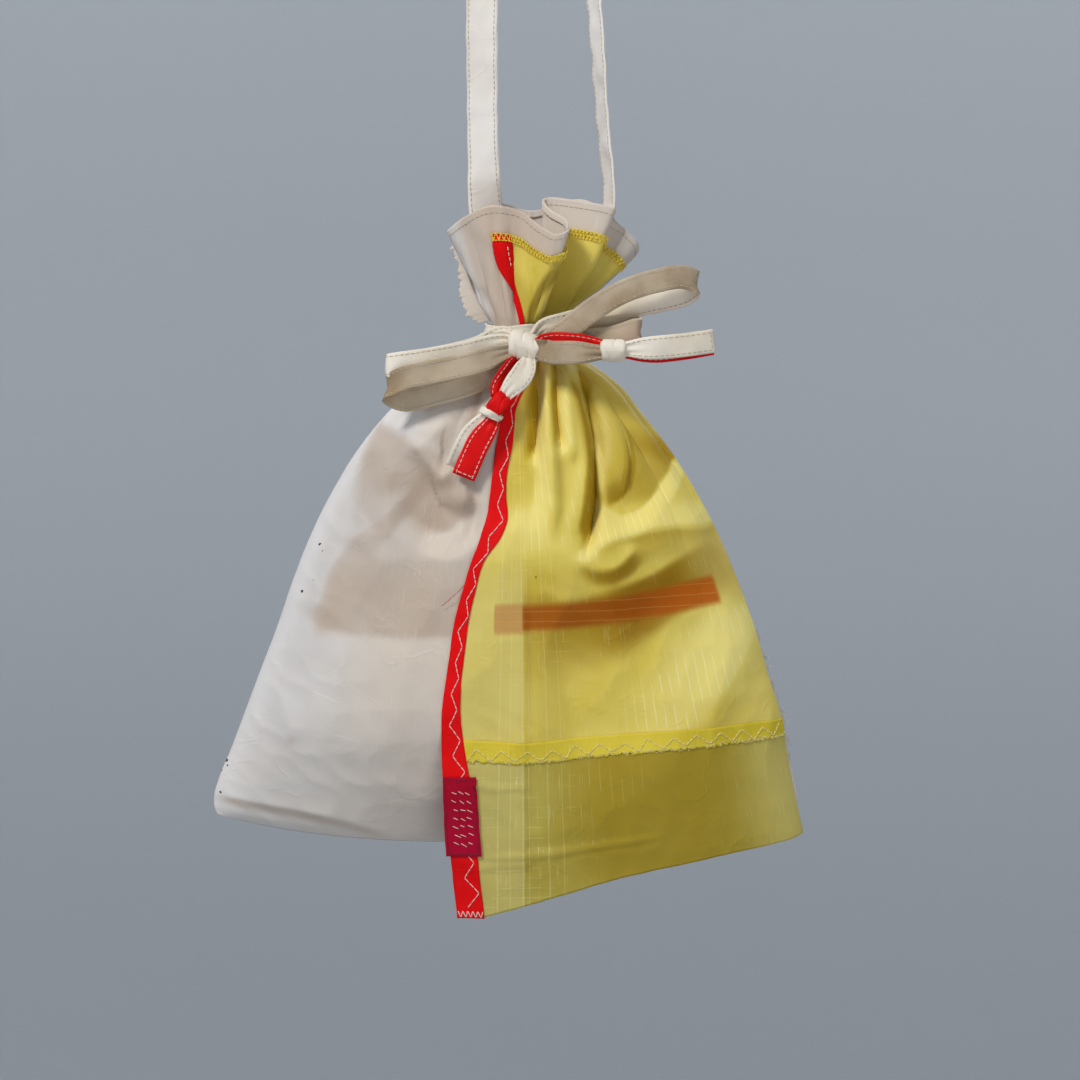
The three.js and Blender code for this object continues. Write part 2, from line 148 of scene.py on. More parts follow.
# Creases of the front: the spine's (across, drop) points, push, reach below or left, reach above or right,
# and the way it falls away where that isn't crisp. A push or reach that changes along the spine is a pair.
CREASES = [
    ([(-79, 48), (-61, 50.5), (-36, 48.5)], -2.6, 8, 6),
    ([(-58, 54), (-47, 67), (-39.9, 75.4), (-32.5, 66)], -5.0, 5, 13),
    ([(-80, 46), (-77, 60), (-74, 74), (-68, 88), (-58, 98)], -4.0, 16, 16, EVEN),
    ([(-72, 72), (-65, 87), (-55, 97), (-47, 103), (-42, 105), (-35, 104), (-29, 97), (-25, 85)],
     (2, 9), (8, 7), 22, EVEN),
    ([(-79, 47), (-86, 73.4), (-88, 92), (-97, 116)], (-7, -2), 16, 12, EVEN),
    ([(-76, 99), (-92, 113.5), (-100, 123), (-105.5, 138), (-111, 157)], -3.2, 14, 14, EVEN),
    ([(-114, 156.5), (-98, 159.5), (-83.7, 161), (-60.6, 161.6), (-26, 159)], 5.2, 26, 25),
    ([(-178, 266), (-136, 265), (-100, 268), (-66, 278)], -2.6, 4, 10),
    ([(-26, 68), (-21.5, 88), (-25, 112)], 2.6, 3, 4),
    ([(-30, 70), (-27.5, 86), (-32, 112)], -2.2, 4, 3),
    ([(-24, 20), (-38, 36), (-52, 48)], 2.4, 5, 5),
    ([(-16, 22), (-22, 46), (-27, 66)], 2.8, 4, 4),
    ([(-140, 186), (-128, 200), (-122, 226)], -1.6, 10, 5),
    ([(11, 8), (11.7, 26), (11.7, 42), (9, 70)], 6.0, 3.2, 2.8),
    ([(12, 24), (11.5, 60), (7, 104)], 2.4, 9, 4, EVEN),
    ([(16.3, 8), (17, 39), (19.5, 82), (20, 110)], -3.6, 4, 4),
    ([(20.3, 8), (21.2, 26), (21.8, 42), (24.5, 64)], 6.0, 2.6, 2.8),
    ([(25, 10), (28.5, 39), (31, 70)], -2.4, 4, 4),
    ([(22, 10), (32, 26.8), (36.4, 42.5), (38.6, 57), (38.8, 72), (36.8, 90), (31, 108)], -4.4, 6, 2.2),
    ([(31, 14), (37, 34), (40.8, 57), (42.4, 76), (42, 93), (39.5, 107), (36, 121)], 10.0, 3.0, 8),
    ([(41.6, 55), (45, 75), (46.6, 93), (43.5, 107), (36, 120)], -3.4, 2.2, 6),
    ([(30, 14), (40.6, 31), (47.5, 52), (49.5, 84)], -2.2, 3, 8),
    ([(42, 80), (48.5, 93), (55, 98), (62, 97), (68, 92.5), (75, 84.5), (82, 73), (89, 56)],
     5.6, 4.5, 30, EVEN),
    ([(30, 113), (46, 109.5), (61, 104.5), (90, 102), (104, 103), (118, 98)], -4.2, 13, 9),
    ([(33, 112), (37.5, 119.5), (42.5, 123), (48, 124), (56, 121), (64, 110)], -2.5, 5, 9),
    ([(2, 199), (22, 194), (40, 189), (56, 181), (72, 171), (88, 159), (104, 144), (124, 124)],
     (9, 13), (44, 13), (37, 12), ROUND),
    ([(26, 12), (48, 28), (66, 44), (92, 72)], -1.6, 9, 7),
    ([(3.5, 112), (3.5, 193), (3.5, 312)], -1.2, 6, 2),
    ([(-24, 281), (10, 278.5), (52, 273), (84, 269)], -1.0, 1.8, 1.8),
    ([(-24, 286), (-8, 284.5), (12, 283)], -0.7, 1.5, 1.5),
    ([(-26, 238), (-12, 241), (8, 240)], -0.7, 1.5, 1.5),
]

# Creases of the back, in the same way.
BACK_CREASES = [
    ([(-6, 10), (-12, 40), (-20, 90)], 4.0, 4, 5),
    ([(8, 10), (10, 44), (6, 84)], 4.5, 4, 4),
    ([(22, 14), (40, 46), (52, 80)], 3.5, 5, 5),
    ([(-24, 14), (-46, 50), (-58, 84)], 3.5, 5, 5),
    ([(-96, 118), (-40, 138), (10, 130), (56, 100)], 5.5, 9, 22),
    ([(26, 154), (70, 146), (116, 120)], 5.0, 8, 20),
    ([(-128, 188), (-60, 206), (0, 200), (66, 214)], 4.5, 11, 24),
    ([(-40, 150), (-70, 175), (-84, 215)], -3.5, 9, 8),
    ([(60, 160), (86, 190), (96, 236)], -3.5, 8, 9),
    ([(-150, 268), (-90, 260), (-40, 272)], 2.4, 3, 5),
]

# The red strip's middle and half width: drop, turn, spread.
RED_ROUTE = [
    (APRON_TOP, 76, 15),
    (-42, 79, 11.5),
    (-30, 85, 7.7),
    (-17, 97, 5),
    (-6, 103, 5),
    (8, 102, 6),
    (20, 95, 5),
    (35, 88.3, 3.1),
    (60, 85.3, 2.8),
    (73, 84.5, 2.3),
    (85, 84.4, 2.4),
    (98, 84.6, 2.9),
    (106, 83.3, 2.75),
    (118, 80.3, 1.75),
    (134.6, 78.4, 1.65),
    (151, 77.1, 1.65),
    (167.7, 76.75, 1.65),
    (184, 76.35, 1.75),
    (200.7, 76.35, 1.95),
    (217, 77.1, 2.25),
    (234, 78.1, 2.6),
    (277, 80.3, 2.5),
    (RED_BOTTOM, 81.8, 2.5),
]

# The seam across the yellow cloth and its lower edge: turn, seam, bottom.
BAND_EDGES = [
    (79, 226, RED_BOTTOM),
    (92, 227, 304),
    (106, 225, 293.5),
    (128, 222, 284),
    (APRON_SIDE, 222, 276),
]
LABEL = {"top": 235, "bottom": 279, "top_turn": 78.9, "bottom_turn": 80.4, "spread": 3.3}

# Tape routes: across, depth, up, roll.
LEFT_LOOP_FRONT = [
    (-6, -31, -8.5, 0),
    (-22, -36, -13.5, 0),
    (-45, -37, -18.5, 0),
    (-61, -36, -22.3, 0),
    (-68.5, -31, -28, 8),
    (-61, -26, -33.8, 0),
    (-42, -26.5, -30.2, -4),
    (-20, -28, -23, -2),
    (-7, -28.5, -12.5, 0),
]
LEFT_LOOP_BACK = [
    (-6, -26.5, -3, 0),
    (-24, -29.5, -8, 0),
    (-46, -32.5, -12, 0),
    (-63, -32.5, -14.5, 0),
    (-69.5, -30.5, -15.5, 0),
    (-63, -28.5, -14.5, 0),
    (-42, -26.5, -11.5, 0),
    (-20, -22.5, -6, 0),
    (-6, -21.5, 1, 0),
]
RIGHT_LOOP_FRONT = [
    (13.9, -27, -4, 0),
    (26, -30.4, 3, 0),
    (40, -33, 14, -4),
    (56, -33.5, 23.5, -6),
    (74, -33, 29.5, -6),
    (89, -31, 31.5, -4),
    (96, -27, 28, 4),
    (90, -22.5, 22.5, 10),
    (68, -21, 17, 12),
    (44, -20, 11.5, 12),
    (26, -20.5, 6.5, 8),
    (14, -21.5, 4, 0),
]
RIGHT_LOOP_BACK = [
    (14, -24, -3, 0),
    (32, -27.4, -2, 0),
    (49, -28.6, -1, 0),
    (61, -28.6, 2.5, 0),
    (66, -26.8, 4.5, 0),
    (61, -25, 5.5, 0),
    (45, -24, 4, 0),
    (30, -23.2, 2, 0),
]
RIGHT_TAIL = [
    (44.2, -36, -5, 0),
    (30, -34, -4, 0),
    (18, -32.4, -4, 0),
    (12.4, -33.4, -6, 0),
    (18, -36, -8, 0),
    (30, -38.2, -8, 0),
    (44.2, -38.6, -8, 0),
]
RIGHT_END_WHITE = [(59, -39, -6.2, 0), (76, -40.5, -5.2, 0), (92, -40, -3.6, 0), (105, -38.5, -1.8, 0)]
RIGHT_END_RED = [(59, -36.5, -7.4, 0), (76, -38, -7.2, 0), (92, -37.6, -5.2, 0), (104, -36.2, -3.2, 0)]
LEFT_TAIL_RED = [(-1, -28.5, -14, 50), (-5, -33.5, -20, 48), (-9.5, -38, -27.2, 66)]
LEFT_TAIL_WHITE = [(6, -31.5, -13, 90), (3, -36, -20, 90), (-4, -39.5, -28, 90)]
LEFT_END_RED = [(-12.5, -40.6, -44.4, 90), (-20, -41.6, -56, 90), (-28, -40.6, -74, 90)]
LEFT_END_WHITE = [(-16.5, -39, -43.6, 90), (-25, -39.8, -54, 70), (-33, -39.5, -69, 48)]
STRAP_ROUTE = [
    (-26, 8, -450, 126),
    (-27, 12, -430, 104),
    (-28.4, 9, -400, 68),
    (-29, 3, -320, 66),
    (-27, 0, -220, 72),
    (-24, 0, -120, 45),
    (-20.6, 0, -22, 0),
    (-14.6, 0, -6.6, 0),
    (0, 0, 0, 0),
    (14.6, 0, -6.6, 0),
    (20.6, 0, -22, 0),
    (25, 0, -120, -12),
    (28, 0, -220, -22),
    (32, 0, -320, -20),
    (36.5, 2, -380, -17),
    (39.5, 2, -420, -15),
    (31.6, 2, -440, -15),
]
UPRIGHT = np.array([0.0, 0.0, 1.0])
SIDEWAYS = np.array([0.0, 1.0, 0.0])

# Middles and half sizes of the knots.
BOW_KNOT = ((4.5, -25.5, -5.5), (9.5, 7.5, 8))
LEFT_TAIL_KNOT = ((-10, -39, -36), (7.5, 6, 8))
RIGHT_TAIL_KNOT = ((51.5, -37.5, -7), (7, 5.5, 6))


def smooth_rows(rows, place):
    """The later columns of a table, read smoothly at places of its first column."""
    rows = np.asarray(rows, float)
    keys, values = rows[:, 0], rows[:, 1:]
    slopes = np.gradient(values, keys, axis=0)
    place = np.clip(np.asarray(place, float), keys[0], keys[-1])
    i = np.clip(np.searchsorted(keys, place, side="right") - 1, 0, len(keys) - 2)
    span = (keys[i + 1] - keys[i])[..., None]
    t = (place - keys[i])[..., None] / span
    ease = t * t * (3 - 2 * t)
    start = values[i] * (1 - ease) + slopes[i] * span * t * (1 - t) ** 2
    end = values[i + 1] * ease - slopes[i + 1] * span * t * t * (1 - t)
    return start + end


def step_up(value, low, high):
    """0 below low, 1 above high and smooth between."""
    t = np.clip((value - low) / (high - low), 0, 1)
    return t * t * (3 - 2 * t)


def wave_field(seed, wavelength, count=8):
    """A soft random field over two coordinates, about -1 to 1."""
    draw = np.random.default_rng(seed)
    headings = draw.uniform(0, math.pi, count)
    phases = draw.uniform(0, 2 * math.pi, count)
    numbers = 2 * math.pi / (wavelength * draw.uniform(0.7, 1.5, count))

    def field(a, b):
        waves = [
            np.sin(number * (a * math.cos(heading) + b * math.sin(heading)) + phase)
            for heading, phase, number in zip(headings, phases, numbers)
        ]
        return sum(waves) / math.sqrt(2 * count)

    return field


broad_crumple = wave_field(11, 58)
fine_crumple = wave_field(23, 24)
tape_crumple = wave_field(5, 17)


def smooth_spine(points):
    """A crease's spine as a fine smooth line."""
    points = np.array(points, float)
    gone = np.concatenate([[0], np.cumsum(np.hypot(*np.diff(points, axis=0).T))])
    return smooth_rows(np.column_stack([gone, points]), np.linspace(0, gone[-1], 8 * len(points)))


FRONT_SPINES = [(smooth_spine(points), *sizes) for points, *sizes in CREASES]
BACK_SPINES = [(smooth_spine(points), *sizes) for points, *sizes in BACK_CREASES]


def crease_push(across, drop, spine, push, below, above, shape=CRISP):
    """One crease along a spine, steeper on the side with the shorter reach, fading at both ends."""
    rounding = 0.6
    fade = 0.2
    soft = 1.8
    widest = soft * max(np.max(below), np.max(above))
    near = (across > spine[:, 0].min() - widest) & (across < spine[:, 0].max() + widest)
    near &= (drop > spine[:, 1].min() - widest) & (drop < spine[:, 1].max() + widest)
    x, d = across[near], drop[near]
    nearest = np.full(x.shape, np.inf)
    side = np.zeros(x.shape)
    along = np.zeros(x.shape)
    travelled = 0.0
    for (ax, ad), (bx, bd) in zip(spine, spine[1:]):
        dx, dd = bx - ax, bd - ad
        length = math.hypot(dx, dd)
        t = np.clip(((x - ax) * dx + (d - ad) * dd) / length**2, 0, 1)
        away = np.hypot(x - ax - t * dx, d - ad - t * dd)
        nearer = away < nearest
        nearest = np.where(nearer, away, nearest)
        side = np.where(nearer, dx * (d - ad) - dd * (x - ax), side)
        along = np.where(nearer, travelled + t * length, along)
        travelled += length
    share = along / travelled
    ends = step_up(share, 0, fade) * step_up(1 - share, 0, fade)
    sizes = [np.broadcast_to(size, 2) for size in (push, below, above)]
    push, below, above = (np.interp(share, [0, 1], size) for size in sizes)
    reach = soft * np.where(side > 0, below, above)
    spread = (np.sqrt(nearest**2 + rounding**2) - rounding) / reach
    pushed = np.zeros(across.shape)
    pushed[near] = push * ends * (1 - np.clip(spread, 0, 1) ** shape[0]) ** shape[1]
    return pushed


def fold_push(across, drop, front):
    """How far the dents and creases push the cloth in, on the front or on the back."""
    push = np.zeros(across.shape)
    for crease in FRONT_SPINES:
        push[front] += crease_push(across[front], drop[front], *crease)
    for middle, height, wide, tall, deep in DENTS:
        reach = ((across[front] - middle) / wide) ** 2 + ((drop[front] - height) / tall) ** 2
        push[front] += deep * np.exp(-reach)
    for crease in BACK_SPINES:
        push[~front] += crease_push(across[~front], drop[~front], *crease)
    return push


def body_points(turn, drop, sections):
    """Points of the body's outer face. Turn 0 is the left side, 90 the front and 180 the right side."""
    front_pleats = 0.45
    back_shift = 400
    broad_deep, fine_deep, crumple_level = 1.3, 0.5, 0.9
    left, right, front, back, edge, lift, pleat = np.moveaxis(smooth_rows(sections, drop), -1, 0)
    angle = np.radians(turn)
    across, forward = -np.cos(angle), np.sin(angle)
    ripple = pleat * gathers(angle) * step_up(np.abs(forward), 0, 0.5)
    ripple = ripple * np.where(forward > 0, front_pleats, 1)
    width = np.where(across < 0, left, right) + ripple
    depth = np.where(forward > 0, front, back) + ripple
    x = across * width
    belly = depth * np.abs(forward) ** edge
    free = step_up(drop, 8, 40) * step_up(np.abs(forward), 0, 0.35)
    shift = np.where(forward > 0, 0, back_shift)
    broad, fine = np.abs(broad_crumple(x + shift, drop)), np.abs(fine_crumple(x + shift, drop))
    crumple = broad_deep * broad + fine_deep * fine - crumple_level
    push = fold_push(x, drop, forward > 0) * np.abs(forward) + crumple * free
    y = -np.sign(forward) * (belly - push * np.minimum(belly / 4, 1))
    return np.stack([x, y, -drop + lift * np.abs(across) ** 3], axis=-1)


def gathers(angle):
    """The cloth's gathers round the neck: rounded ridges with sharp valleys, unevenly spaced."""
    phase = PLEATS * angle + 1.3 * np.sin(2 * angle + 0.6) + 0.9 * np.sin(5 * angle)
    return 2 * np.abs(np.cos(phase / 2)) - 1


def face_points(turn, drop, sections):
    """Points of the whole outer face. Above the neck the ruffle opens to the rim."""
    gather_deep, crumple_deep = 1.8, 2.2
    turn, drop = np.broadcast_arrays(np.asarray(turn, float), np.asarray(drop, float))
    first, second, last = RIM_FOLDS[0], RIM_FOLDS[1], RIM_FOLDS[-1]
    around = [
        (last[0] - 360, *last[1:]),
        *RIM_FOLDS,
        (first[0] + 360, *first[1:]),
        (second[0] + 360, *second[1:]),
    ]
    rim = smooth_rows(around, turn % 360)
    open_share = np.clip((-drop - RUFFLE_START) / (RUFFLE_HEIGHT - RUFFLE_START), 0, 1)
    sideways = open_share ** np.interp(turn % 360, [100, 145, 230, 330], [1, 0.62, 0.62, 1])
    shares = np.stack([sideways, sideways, open_share], axis=-1)
    body = body_points(turn, np.maximum(drop, -RUFFLE_START), sections)
    angle = np.radians(turn)
    outward = np.stack([-np.cos(angle), -np.sin(angle), np.zeros_like(angle)], axis=-1)
    gather = gather_deep * gathers(angle) + crumple_deep * fine_crumple(turn * 0.9, drop * 0.8)
    loose = open_share * (1 - open_share) ** 1.5 * 3
    return body * (1 - shares) + rim * shares + (gather * loose)[..., None] * outward


def face_frame(turn, drop, sections):
    """Points of the outer face and its outward normals."""
    step = 0.4
    turn, drop = np.broadcast_arrays(np.asarray(turn, float), np.asarray(drop, float))
    along = face_points(turn + step, drop, sections) - face_points(turn - step, drop, sections)
    down = face_points(turn, drop + step, sections) - face_points(turn, drop - step, sections)
    normal = np.cross(down, along)
    normal /= np.maximum(np.linalg.norm(normal, axis=-1, keepdims=True), 1e-9)
    return face_points(turn, drop, sections), normal


def raised_points(turn, drop, height, sections):
    """Points at a height above the outer face."""
    points, normals = face_frame(turn, drop, sections)
    return points + normals * np.asarray(height * np.ones(points.shape[:-1]))[..., None]


def painted_shade_share(turn, drop, sections):
    """Painted shade from how the folds turn from the light: 0 on a face looking up and left, 1 in a dent
    looking down.
    """
    step = 3.0
    downward, sideward, inward, deep = 2.0, 0.8, 0.3, 12
    left, right = np.moveaxis(smooth_rows(sections, drop)[..., :2], -1, 0)
    angle = np.radians(turn)
    front = np.sin(angle) > 0
    across = -np.cos(angle) * np.where(np.cos(angle) > 0, left, right)
    down = fold_push(across, drop + step, front) - fold_push(across, drop - step, front)
    aside = fold_push(across + step, drop, front) - fold_push(across - step, drop, front)
    depth = inward * np.tanh(fold_push(across, drop, front) / deep)
    shade = (downward * down + np.where(front, sideward, 0) * aside) / (2 * step) + depth
    return 0.5 + 0.5 * np.tanh(shade)


def apron_side(drop):
    """The turn of the yellow cloth's right edge, which goes round further in the ruffle."""
    return np.interp(drop, [APRON_TOP, -RUFFLE_START, 14], [191, 180, APRON_SIDE])


def cloth_place(turn, drop):
    """Where a point lies on the flat cloth, in metres. Threads run together at the gathered neck."""
    angle = np.radians(turn)
    across = -np.cos(angle) * np.where(np.sin(angle) >= 0, 1, -1) + np.where(np.sin(angle) >= 0, 0, 4)
    return np.stack([across * PANEL_HALF, np.asarray(drop) * np.ones_like(angle)], axis=-1) * MM


def red_turn(drop, side):
    """The turn of a line along the red strip: side -1 is its left edge and 1 its right edge."""
    turn, spread = np.moveaxis(smooth_rows(RED_ROUTE, drop), -1, 0)
    return turn + side * spread


def band_edge(share):
    """The drops of the yellow seam and of the lower edge at a share across the yellow cloth."""
    turn = BAND_EDGES[0][0] + (APRON_SIDE - BAND_EDGES[0][0]) * share
    return np.moveaxis(smooth_rows(BAND_EDGES, turn), -1, 0)


def to_frame(points, base=NECK):
    """Millimetres from the neck, or another base, as metres in the shared frame."""
    return (points + base) * MM


def finished_mesh(name, bm):
    """A smooth mesh from a bmesh, which is freed."""
    for face in bm.faces:
        face.smooth = True
    mesh = bpy.data.meshes.new(name)
    bm.to_mesh(mesh)
    bm.free()
    return mesh


def sheet_mesh(name, columns, rows, place, flat, closed=False, painted_shade=None):
    """A mesh from a flat grid: place(u, v) gives its points in metres and flat(u, v) its cloth coordinates.
    painted_shade(u, v), if given, is kept as the mesh's attribute of that name: the painted shade of the
    folds."""
    bm = bmesh.new()
    bmesh.ops.create_grid(bm, x_segments=columns, y_segments=rows, size=0.5)
    shares = np.array([vert.co[:2] for vert in bm.verts])
    shares = (shares - shares.min(axis=0)) / np.ptp(shares, axis=0)
    u, v = shares[:, 0], shares[:, 1]
    for vert, point in zip(bm.verts, place(u, v)):
        vert.co = point
    if painted_shade:
        depth = bm.verts.layers.float.new("painted_shade")
        for vert, share in zip(bm.verts, painted_shade(u, v)):
            vert[depth] = share
    cloth = bm.loops.layers.uv.new("cloth")
    spots = flat(u, v)
    bm.verts.index_update()
    for face in bm.faces:
        for loop in face.loops:
            loop[cloth].uv = spots[loop.vert.index]
    if closed:
        bmesh.ops.remove_doubles(bm, verts=bm.verts, dist=0.02 * MM)
    return finished_mesh(name, bm)


def add_piece(name, mesh, slot, *materials, nodes=(), wall=0.0, offset=0.0):
    """A piece of the bag that rides on its one body and stands for the nodes that it covers."""
    piece = bpy.data.objects.new(name, mesh)
    bpy.context.scene.collection.objects.link(piece)
    for material in materials:
        mesh.materials.append(material)
    if wall:
        thickness = piece.modifiers.new("wall", "SOLIDIFY")
        thickness.thickness = wall * MM
        thickness.offset = offset
        thickness.material_offset = len(materials) - 1
    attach(piece, "root")
    if nodes:
        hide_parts(*nodes)
    return piece


def fill_inputs(tree, sockets, inputs):
    """Sets sockets to values, or links them to other nodes' outputs."""
    for key, value in inputs.items():
        if isinstance(value, bpy.types.NodeSocket):
            tree.links.new(value, sockets[key])
        else:
            sockets[key].default_value = value


def add_node(tree, kind, inputs=None, **settings):
    """A shader node with its settings and inputs."""
    made = tree.nodes.new(kind)
    for key, value in settings.items():
        setattr(made, key, value)
    fill_inputs(tree, made.inputs, inputs or {})
    return made


def maths(tree, operation, first, second=0.0):
    return add_node(tree, "ShaderNodeMath", {0: first, 1: second}, operation=operation).outputs[0]


def ramp(tree, value, low, high, start=0.0, end=1.0):
    """A value taken smoothly from one range to another."""
    inputs = {"Value": value, "From Min": low, "From Max": high, "To Min": start, "To Max": end}
    return add_node(tree, "ShaderNodeMapRange", inputs, interpolation_type="SMOOTHSTEP").outputs["Result"]


def mixed(tree, share, first, second):
    """Two colours mixed by a share."""
    made = tree.nodes.new("ShaderNodeMix")
    made.data_type = "RGBA"
    fill_inputs(tree, made.inputs, {0: share, 6: first, 7: second})
    return made.outputs[2]


def new_group(name, inputs, outputs):
    """A shader node group with named inputs and outputs; gives its tree and its two end nodes."""
    tree = bpy.data.node_groups.new(name, "ShaderNodeTree")
    for label, kind in inputs:
        tree.interface.new_socket(label, in_out="INPUT", socket_type=kind)
    for label in outputs:
        tree.interface.new_socket(label, in_out="OUTPUT", socket_type="NodeSocketFloat")
    return tree, tree.nodes.new("NodeGroupInput"), tree.nodes.new("NodeGroupOutput")


def weave_group():
    """Plain weave: Height of the threads, and Warp and Weft lines where thicker threads run."""
    wander_scale, wander_reach, thick_thread = 60.0, 0.0016, 0.00042
    inputs = [("Cloth", "NodeSocketVector"), ("Pitch", "NodeSocketFloat"), ("Ripstop", "NodeSocketFloat")]
    tree, ins, outs = new_group("weave", inputs, ["Height", "Warp", "Weft"])
    shake = add_node(tree, "ShaderNodeTexNoise", {"Vector": ins.outputs["Cloth"], "Scale": wander_scale})
    wander = maths(tree, "MULTIPLY", maths(tree, "SUBTRACT", shake.outputs["Fac"], 0.5), wander_reach)
    split = add_node(tree, "ShaderNodeSeparateXYZ", {0: ins.outputs["Cloth"]})
    turns = maths(tree, "DIVIDE", 2 * math.pi, ins.outputs["Pitch"])
    half = maths(tree, "MULTIPLY", ins.outputs["Ripstop"], 0.5)
    waves, lines = [], []
    for axis, line in (("X", "Warp"), ("Y", "Weft")):
        waves.append(maths(tree, "SINE", maths(tree, "MULTIPLY", split.outputs[axis], turns)))
        away = maths(tree, "PINGPONG", maths(tree, "ADD", split.outputs[axis], wander), half)
        lines.append(ramp(tree, away, 0.0, thick_thread, 1.0, 0.0))
        tree.links.new(lines[-1], outs.inputs[line])
    crossing = maths(tree, "MULTIPLY", *waves)
    tree.links.new(maths(tree, "ADD", crossing, maths(tree, "MAXIMUM", *lines)), outs.inputs["Height"])
    return tree


def soil_group():
    """Uneven cloth: Blotch in large patches, Grain in fine ones, Slub in short threads, Dash in long ones,
    and Crinkle in fine creases that come and go."""
    parts = ["Blotch", "Grain", "Slub", "Dash", "Crinkle"]
    tree, ins, outs = new_group("soil", [("Cloth", "NodeSocketVector")], parts)
    cloth = ins.outputs["Cloth"]

    def noise(place, scale, detail, distortion=0.0):
        inputs = {"Vector": place, "Scale": scale, "Detail": detail, "Distortion": distortion}
        return add_node(tree, "ShaderNodeTexNoise", inputs).outputs["Fac"]

    def stretched(across, down):
        inputs = {"Vector": cloth, "Scale": (across, down, 1.0)}
        return add_node(tree, "ShaderNodeMapping", inputs).outputs[0]

    blotch = noise(cloth, 22.0, 4.0)
    bends = noise(cloth, 34.0, 2.5, 0.8)
    sharp = ramp(tree, maths(tree, "ABSOLUTE", maths(tree, "SUBTRACT", bends, 0.5)), 0.0, 0.045, 1.0, 0.0)
    results = [
        ramp(tree, blotch, 0.35, 0.7),
        noise(cloth, 420.0, 5.0),
        ramp(tree, noise(stretched(900.0, 60.0), 1.0, 2.0), 0.6, 0.72),
        noise(stretched(60.0, 52.0), 1.0, 1.0),
        maths(tree, "MULTIPLY", sharp, ramp(tree, blotch, 0.42, 0.6)),
    ]
    for part, result in zip(parts, results):
        tree.links.new(result, outs.inputs[part])
    return tree


def spot_group():
    """One irregular spot of dirt at a place on the cloth."""
    ragged_scale, soft_edge = 900.0, 0.0004
    inputs = [("Cloth", "NodeSocketVector"), ("Centre", "NodeSocketVector"), ("Radius", "NodeSocketFloat")]
    tree, ins, outs = new_group("spot", inputs, ["Mask"])
    cloth, centre, radius = (ins.outputs[label] for label, _ in inputs)
    shake = add_node(tree, "ShaderNodeTexNoise", {"Vector": cloth, "Scale": ragged_scale}).outputs["Fac"]
    reach = add_node(tree, "ShaderNodeVectorMath", {0: cloth, 1: centre}, operation="DISTANCE")
    edge = maths(tree, "MULTIPLY", radius, maths(tree, "MULTIPLY", shake, 2.0))
    inside = maths(tree, "SUBTRACT", edge, reach.outputs["Value"])
    tree.links.new(ramp(tree, inside, 0.0, soft_edge), outs.inputs["Mask"])
    return tree


WEAVE = weave_group()
SOIL = soil_group()
SPOT = spot_group()


def place_group(tree, group, inputs):
    """A node group in a material; gives its outputs."""
    made = tree.nodes.new("ShaderNodeGroup")
    made.node_tree = group
    fill_inputs(tree, made.inputs, inputs)
    return made.outputs


def linear(red, green, blue):
    """A colour given as it shows on a screen, 0 to 255, as the shader takes it."""
    shares = [value / 255 for value in (red, green, blue)]
    return tuple(s / 12.92 if s <= 0.04045 else ((s + 0.055) / 1.055) ** 2.4 for s in shares) + (1.0,)


def new_material(name):
    """A new material, its tree and its shader."""
    material = bpy.data.materials.new(name)
    material.use_nodes = True
    return material, material.node_tree, material.node_tree.nodes["Principled BSDF"]


